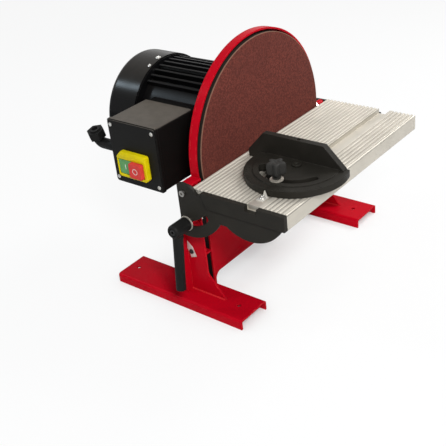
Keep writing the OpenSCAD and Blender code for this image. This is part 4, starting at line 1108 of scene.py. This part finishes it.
@dataclass
class SwitchPanel:
    """Switch with its moulded frame, two dished buttons, their marks, and the cover's screws."""

    finishes: Finishes
    lip_front: float = 6.5 * MM
    lip_back: float = 2.0 * MM
    sill: float = 4.5 * MM
    brow: float = 12.5 * MM
    corner: float = 9.0 * MM
    rounding: float = 0.9 * MM
    well_rounding: float = 0.72 * MM
    middle_share: float = 0.3
    facets: int = 96
    squareness: float = 0.2
    dish: float = 0.4 * MM
    dish_share: float = 0.94
    cap_shares: tuple[float, ...] = (0.0, 1.0, 1.0, 0.985, 0.94, 0.8, 0.6, 0.4, 0.2, 0.0)
    cap_edge: tuple[float, float] = (1.2 * MM, 0.4 * MM)
    bar_half: tuple[float, float] = (0.55 * MM, 4.4 * MM)
    bar_shares: tuple[float, ...] = (0.0, 0.9, 1.0, 0.9, 0.0)
    bar_depths: tuple[float, ...] = (0.3 * MM, 0.3 * MM, 0.0, -0.32 * MM, -0.36 * MM)
    ring_radius: float = 4.6 * MM
    ring_half: tuple[float, float] = (0.45 * MM, 0.36 * MM)
    ring_steps: int = 12
    ring_facets: int = 64
    head: float = 3.2 * MM
    head_height: float = 1.8 * MM

    def frame(self) -> None:
        """Lofts the frame: outer outline, round edge, flat face, round edge, well."""
        low, high = low_high("switch_frame")
        y0, y1, z0, z1, corner = low[1], high[1], low[2], high[2], self.corner
        outer = np.array(
            [
                (y0 + corner / 2, z0), (y1 - corner / 3, z0), (y1, z0 + corner / 3), (y1, z1 - corner),
                (y1 - corner, z1), (y0 + corner / 4, z1), (y0, z1 - corner / 4), (y0, z0 + corner / 2),
            ]
        )
        near, far = y0 + self.lip_front, y1 - self.lip_back
        sill, brow = z0 + self.sill, z1 - self.brow
        well = np.array([(near, sill), (far, sill), (far, brow), (near, brow)])
        middle = well.mean(axis=0)
        turn = np.vstack([outer, well]) - middle
        even = np.linspace(-np.pi, np.pi, self.facets, endpoint=False)
        angles = np.unique(np.concatenate([even, np.arctan2(turn[:, 1], turn[:, 0])]))
        face, back, share = low[0], high[0], self.middle_share
        r, w = self.rounding, self.well_rounding
        rings = (
            (outer, 0.0, back),
            (outer, 0.0, face + r),
            (outer, share * r, face + share * r),
            (outer, r, face),
            (well, -w, face),
            (well, -share * w, face + share * w),
            (well, 0.0, face + w),
            (well, 0.0, back),
            (outer, 0.0, back),
        )
        loops = [
            np.column_stack([np.full(angles.size, x), ray_outline(line, middle, angles, inset)])
            for line, inset, x in rings
        ]
        piece = skin("switch_bezel", np.stack(loops))
        self.finishes.seat(piece, "yellow_moulding", "base", "yellow_plastic", "switch_frame")

    def stack(self, x: np.ndarray, shares: np.ndarray, middle: np.ndarray, half: np.ndarray) -> np.ndarray:
        """Grid of stacked super-ellipses: a power of cosine and sine squares their corners.

        Args:
            x: Place of each layer.
            shares: Size of each layer as a share of the half sizes.
            middle: Middle of the stack.
            half: Half sizes in Y and Z.

        Returns:
            Grid of layers by angles by xyz.
        """
        angle = circle(self.facets)
        y, z = (np.sign(wave) * np.abs(wave) ** self.squareness for wave in (np.cos(angle), np.sin(angle)))
        size = shares[:, None]
        return grid_of(x[:, None], middle[1] + half[0] * size * y, middle[2] + half[1] * size * z)

    def button(self, label: str, mark: Mark) -> None:
        """Makes one button with a dished face, and its white mark: a bar or a round ring.

        Args:
            label: Name of the button's body.
            mark: Sign on its face.
        """
        low, high = low_high(f"{label}_button")
        middle, half = (low + high) / 2, (high - low) / 2
        shares = np.array(self.cap_shares)
        x = low[0] + self.dish * np.clip(1.0 - (shares / self.dish_share) ** 2, 0.0, 1.0)
        x[:2] = high[0]
        x[2:4] = low[0] + np.array(self.cap_edge)
        hue = "green" if mark is Mark.BAR else "red"
        piece = skin(f"{label}_button_cap", self.stack(x, shares, middle, half[1:]))
        self.finishes.seat(piece, f"{hue}_moulding", label, f"{hue}_plastic", f"{label}_button")
        centre = np.array([low[0] + self.dish, middle[1], middle[2]])
        if mark is Mark.BAR:
            depths = centre[0] + np.array(self.bar_depths)
            sign = self.stack(depths, np.array(self.bar_shares), centre, np.array(self.bar_half))
        else:
            turn = np.append(circle(self.ring_steps), 0.0)
            wide, tall = self.ring_half
            section = np.column_stack([self.ring_radius + wide * np.cos(turn), tall * np.sin(turn)])
            sign = turned(section, centre, -X_AXIS, self.ring_facets)
        self.finishes.seat(skin(f"{label}_mark", sign), "white_print", label)

    def screws(self) -> None:
        """Sets four cross-head screws in the corners of the box's cover."""
        low, high = low_high("cover_screws")
        rows, columns = ((low[k] + self.head, high[k] - self.head) for k in (1, 2))
        places = np.array([(low[0] + self.head_height, y, z) for y in rows for z in columns])
        screw = CrossHead(self.head, self.head_height)
        piece = screw.row("cover_screw_heads", places, np.broadcast_to(-X_AXIS, places.shape))
        self.finishes.seat(piece, "bright_steel", "base", "bright_steel", "cover_screws")

    def build(self) -> None:
        """Builds the whole switch."""
        self.frame()
        self.button("start", Mark.BAR)
        self.button("stop", Mark.RING)
        self.screws()


@dataclass
class Motor:
    """Cross-head screws and a small earth screw round the front edge of the fan cover."""

    finishes: Finishes
    first: float = math.radians(7.0)
    count: int = 4
    head: float = 4.4 * MM
    head_height: float = 2.4 * MM
    earth: float = math.radians(21.0)
    earth_head: float = 3.0 * MM
    earth_height: float = 1.5 * MM

    def build(self) -> None:
        """Sets the screw heads and the earth screw on the cover."""
        low, high = low_high("fan_cover_screws")
        cover_low, cover_high = low_high("fan_cover")
        middle = (cover_low + cover_high) / 2
        middle[1] = (low[1] + high[1]) / 2
        reach = (cover_high[0] - cover_low[0]) / 2
        turn = np.append(self.first + 2 * np.pi / self.count * np.arange(self.count), self.earth)
        out = np.column_stack([-np.sin(turn), np.zeros_like(turn), np.cos(turn)])
        places = middle + reach * out
        screw = CrossHead(self.head, self.head_height)
        piece = screw.row("fan_cover_screw_heads", places[:-1], out[:-1])
        self.finishes.seat(piece, "bright_steel", "base", "bright_steel", "fan_cover_screws")
        small = CrossHead(self.earth_head, self.earth_height)
        piece = small.row("earth_screw_head", places[-1:], out[-1:])
        self.finishes.seat(piece, "bright_steel", "base", "bright_steel")


@dataclass
class MitreGauge:
    """Star knob, relief ticks on the protractor's rim and the gauge's screws."""

    finishes: Finishes
    lobes: int = 5
    neck: float = 6.5 * MM
    neck_height: float = 9.0 * MM
    knob_radius: float = 14.5 * MM
    knob_facets: int = 120
    knob_edge: float = 1.6 * MM
    edge_share: float = 0.93
    crown: float = 1.8 * MM
    crown_share: float = 0.88
    dip: float = 0.8 * MM
    dip_shares: tuple[float, float] = (0.4, 0.3)
    ease_share: float = 0.35
    waist: float = 9.0 * MM
    tick_span: int = 60
    tick_step: int = 5
    long_step: int = 15
    tick_from: float = 68.0 * MM
    tick_short: float = 3.0 * MM
    tick_to: float = 75.5 * MM
    tick_half: float = 0.35 * MM
    tick_high: float = 0.35 * MM
    washer_gap: float = 0.3 * MM
    rim_drop: float = 1.5 * MM
    pivot_head: float = 7.0 * MM
    pivot_high: float = 3.0 * MM
    pivot_shank: float = 4.0 * MM
    pivot_length: float = 14.0 * MM
    pivot_recess: tuple[float, float] = (3.4 * MM, 3.0 * MM)
    pivot_floor: float = 1.0 * MM
    pivot_round: float = 0.5 * MM
    pointer_head: float = 4.2 * MM
    pointer_high: float = 2.8 * MM
    pointer_sheet: float = 1.2 * MM

    def knob(self) -> None:
        """Star knob: radius is a mean plus a cosine of five lobes, eased in from the round neck."""
        low, high = low_high("gauge_knob")
        middle = (low + high) / 2
        tall, neck = high[2] - low[2], self.neck_height
        lip, well = self.dip_shares
        stage = soft_profile(
            [
                (0, 0, 0), (1, 0, 0), (1, 0, neck), (self.edge_share, 1, neck), (1, 1, neck + self.knob_edge),
                (1, 1, tall - self.crown), (self.crown_share, 1, tall), (lip, 1, tall),
                (well, 1, tall - self.dip), (0, 1, tall - self.dip),
            ],
            self.ease_share,
        )
        share, star_share, height = stage[:, :1], stage[:, 1:2], stage[:, 2:]
        angle = circle(self.knob_facets)
        mean, wave = (self.knob_radius + self.waist) / 2, (self.knob_radius - self.waist) / 2
        star = mean + wave * np.cos(self.lobes * angle)
        radius = share * ((1 - star_share) * self.neck + star_share * star)
        x, y = middle[0] + radius * np.cos(angle), middle[1] + radius * np.sin(angle)
        piece = skin("star_knob", grid_of(x, y, low[2] + height))
        self.finishes.seat(piece, "worn_moulding", "mitre_knob", "black_plastic", "gauge_knob")

    def ticks(self, pivot: np.ndarray) -> None:
        """Raised bars at even angles on the lowered rim, longer at each third one.

        Args:
            pivot: Pivot of the protractor.
        """
        degrees = np.arange(-self.tick_span, self.tick_span + 1, self.tick_step)
        turn = np.radians(degrees)[:, None]
        start = self.tick_from + np.where(degrees % self.long_step == 0, 0.0, self.tick_short)[:, None]
        top = low_high("gauge_washer")[0][2] - self.washer_gap - self.rim_drop
        ring = ((0, -1), (1, -1), (1, 1), (0, 1))
        unit = np.array([(*corner, level) for level in (-1, 1) for corner in ring], float)
        along = start + (self.tick_to - start) * unit[:, 0]
        aside = self.tick_half * unit[:, 1]
        x = pivot[0] - along * np.cos(turn) - aside * np.sin(turn)
        y = pivot[1] + along * np.sin(turn) - aside * np.cos(turn)
        points = grid_of(x, y, top + self.tick_high * unit[:, 2])
        sides = np.array([(0, 3, 2, 1), (4, 5, 6, 7), (0, 1, 5, 4), (1, 2, 6, 5), (2, 3, 7, 6), (3, 0, 4, 7)])
        faces = (sides + len(unit) * np.arange(degrees.size)[:, None, None]).reshape(-1, 4)
        work = raw("protractor_ticks", points, faces.tolist())
        piece = settled("protractor_ticks", work, smooth=False)
        self.finishes.seat(piece, "black_casting", "mitre_head", "black_casting")

    def screws(self, pivot: np.ndarray) -> None:
        """Pivot screw with a round recess in its head, and the pointer's domed screw.

        Args:
            pivot: Pivot of the protractor.
        """
        low, high = low_high("gauge_screws")
        shank, head, tall = self.pivot_shank, self.pivot_head, self.pivot_high
        mouth, well = self.pivot_recess
        line = soft_profile(
            [
                (0, -self.pivot_length), (shank, -self.pivot_length), (shank, 0), (head, 0), (head, tall),
                (mouth, tall), (well, self.pivot_floor), (0, self.pivot_floor),
            ],
            self.pivot_round,
        )
        seat = np.array([pivot[0], pivot[1], high[2] - tall])
        piece = skin("protractor_pivot", turned(line, seat, Z_AXIS))
        self.finishes.seat(piece, "black_casting", "mitre_bar", "bright_steel", "gauge_screws")
        level = low_high("gauge_pointer")[0][2] + self.pointer_sheet
        at = np.array([low[0] + self.pointer_head, pivot[1], level])
        screw = CrossHead(self.pointer_head, self.pointer_high)
        piece = screw.row("pointer_screw_head", at[None], Z_AXIS[None])
        self.finishes.seat(piece, "bright_steel", "mitre_bar", "bright_steel")

    def build(self) -> None:
        """Builds the gauge's pieces."""
        low, high = low_high("gauge_screws")
        pivot = np.array([high[0] - self.pivot_head, (low[1] + high[1]) / 2])
        self.knob()
        self.ticks(pivot)
        self.screws(pivot)


@dataclass
class AngleMarks:
    """Cross-head screws of the two angle pointers."""

    finishes: Finishes
    head: float = 4.0 * MM
    head_height: float = 2.4 * MM

    def build(self) -> None:
        """Sets one screw head on each pointer."""
        low, high = low_high("pointer_screws")
        ends = (low[0] + self.head_height, high[0] - self.head_height)
        places = np.array([(x, *(low + high)[1:] / 2) for x in ends])
        screw = CrossHead(self.head, self.head_height)
        piece = screw.row("angle_screw_heads", places, np.array([-X_AXIS, X_AXIS]))
        self.finishes.seat(piece, "black_oxide", "base", "bright_steel", "pointer_screws")


# Studio


def placed(name: str, data: bpy.types.ID, axes: np.ndarray, at: Place) -> bpy.types.Object:
    """Links a camera or lamp to the scene.

    Args:
        name: Name of the new object.
        data: Its camera or light.
        axes: Its own axes as columns.
        at: Where it stands.

    Returns:
        The object.
    """
    item = bpy.data.objects.new(name, data)
    matrix = np.eye(4)
    matrix[:3, :3] = axes
    matrix[:3, 3] = at
    item.matrix_world = matrix.T.tolist()
    bpy.context.scene.collection.objects.link(item)
    return item


@dataclass(frozen=True)
class SoftBox:
    """Square lamp that faces the middle of the machine."""

    name: str
    at: Place
    size: float
    watts: float
    tint: Colour = WHITE
    target: Place = (0.0, 0.0, 0.18)

    def hang(self) -> None:
        """Hangs the lamp in the scene."""
        data = bpy.data.lights.new(self.name, "AREA")
        data.shape = "SQUARE"
        data.size = self.size
        data.energy = self.watts
        data.color = self.tint
        aim = np.array(self.at) - np.array(self.target)
        placed(self.name, data, np.column_stack(square_axes(aim)), self.at)


@dataclass
class Studio:
    """Floor, lights and the camera."""

    eye: Place = (-0.93105, -0.75418, 0.75052)
    right: Place = (0.6180, -0.7798, -0.0996)
    up: Place = (0.4483, 0.2456, 0.8594)
    back: Place = (-0.6458, -0.5758, 0.5014)
    lens: float = 65.49
    sensor: float = 36.0
    sight: float = 50.0
    floor_half: float = 6.0
    floor_lines: int = 9
    floor_colour: Colour = (0.86, 0.86, 0.86)
    floor_rough: float = 0.95
    floor_glow: float = 0.88
    contact: float = 0.09
    contact_samples: int = 8
    world_light: float = 0.25
    lamps: tuple[SoftBox, ...] = (
        SoftBox("key", (-1.25, -1.6, 1.85), 0.6, 52.0),
        SoftBox("fill", (1.1, -0.35, 1.15), 0.6, 12.0),
        SoftBox("rear", (-0.98, 1.87, 1.75), 0.3, 11.0, (0.72, 0.88, 1.0)),
    )

    def camera(self) -> None:
        """Sets the camera at the photograph's angle."""
        data = bpy.data.cameras.new("camera")
        data.lens = self.lens
        data.sensor_width = self.sensor
        data.clip_end = self.sight
        q, r = np.linalg.qr(np.column_stack([self.right, self.up, self.back]))
        bpy.context.scene.camera = placed("camera", data, q * np.sign(np.diag(r)), self.eye)

    def floor(self) -> None:
        """Lays a pale floor that glows to the camera, less where the object stands close."""
        line = np.linspace(-self.floor_half, self.floor_half, self.floor_lines)
        plane = skin("floor", grid_of(line, line[:, None], np.zeros(1)), wrap=False)
        s = Sheet.named("pale_floor")
        seen = s.wire(s.add("ShaderNodeLightPath"), "Is Camera Ray")
        glow = s.add("ShaderNodeEmission", None, {"Color": WHITE, "Strength": 1.0})
        settings = {"samples": self.contact_samples}
        near = s.add("ShaderNodeAmbientOcclusion", settings, {"Distance": self.contact})
        s.mix_shaders(seen.ramp(0.0, 1.0, 0.0, self.floor_glow) * s.wire(near, "AO"), glow)
        material = s.close(Base_Color=self.floor_colour, Roughness=self.floor_rough, Specular_IOR_Level=0.0)
        plane.data.materials.append(material)

    def light(self) -> None:
        """Hangs the lamps and sets the world: even light, and plain white where it is seen."""
        for lamp in self.lamps:
            lamp.hang()
        s = Sheet(bpy.data.worlds.new("studio"), "ShaderNodeBackground", "ShaderNodeOutputWorld")
        path = s.add("ShaderNodeLightPath")
        rays = ("Camera", "Glossy", "Transmission")
        camera, glossy, clear = (s.wire(path, f"Is {ray} Ray") for ray in rays)
        white = s.add("ShaderNodeBackground", None, {"Color": WHITE})
        s.mix_shaders((camera + glossy + clear).ramp(0.0, 1.0), white)
        bpy.context.scene.world = s.close(Color=WHITE, Strength=self.world_light)
        bpy.context.scene.view_settings.view_transform = "Standard"


def main() -> None:
    """Builds and dresses every piece."""
    logging.basicConfig(level=logging.INFO, format="%(name)s: %(message)s")
    studio = Studio()
    studio.camera()
    finishes = Finishes()
    Carcass(finishes).dress()
    Stand(finishes).build()
    RibbedTable(finishes).build()
    ClampLever(finishes, Side.LEFT).build()
    ClampLever(finishes, Side.RIGHT).build()
    AngleMarks(finishes).build()
    SwitchPanel(finishes).build()
    Motor(finishes).build()
    MitreGauge(finishes).build()
    studio.floor()
    studio.light()


if __name__ == "__main__":
    main()
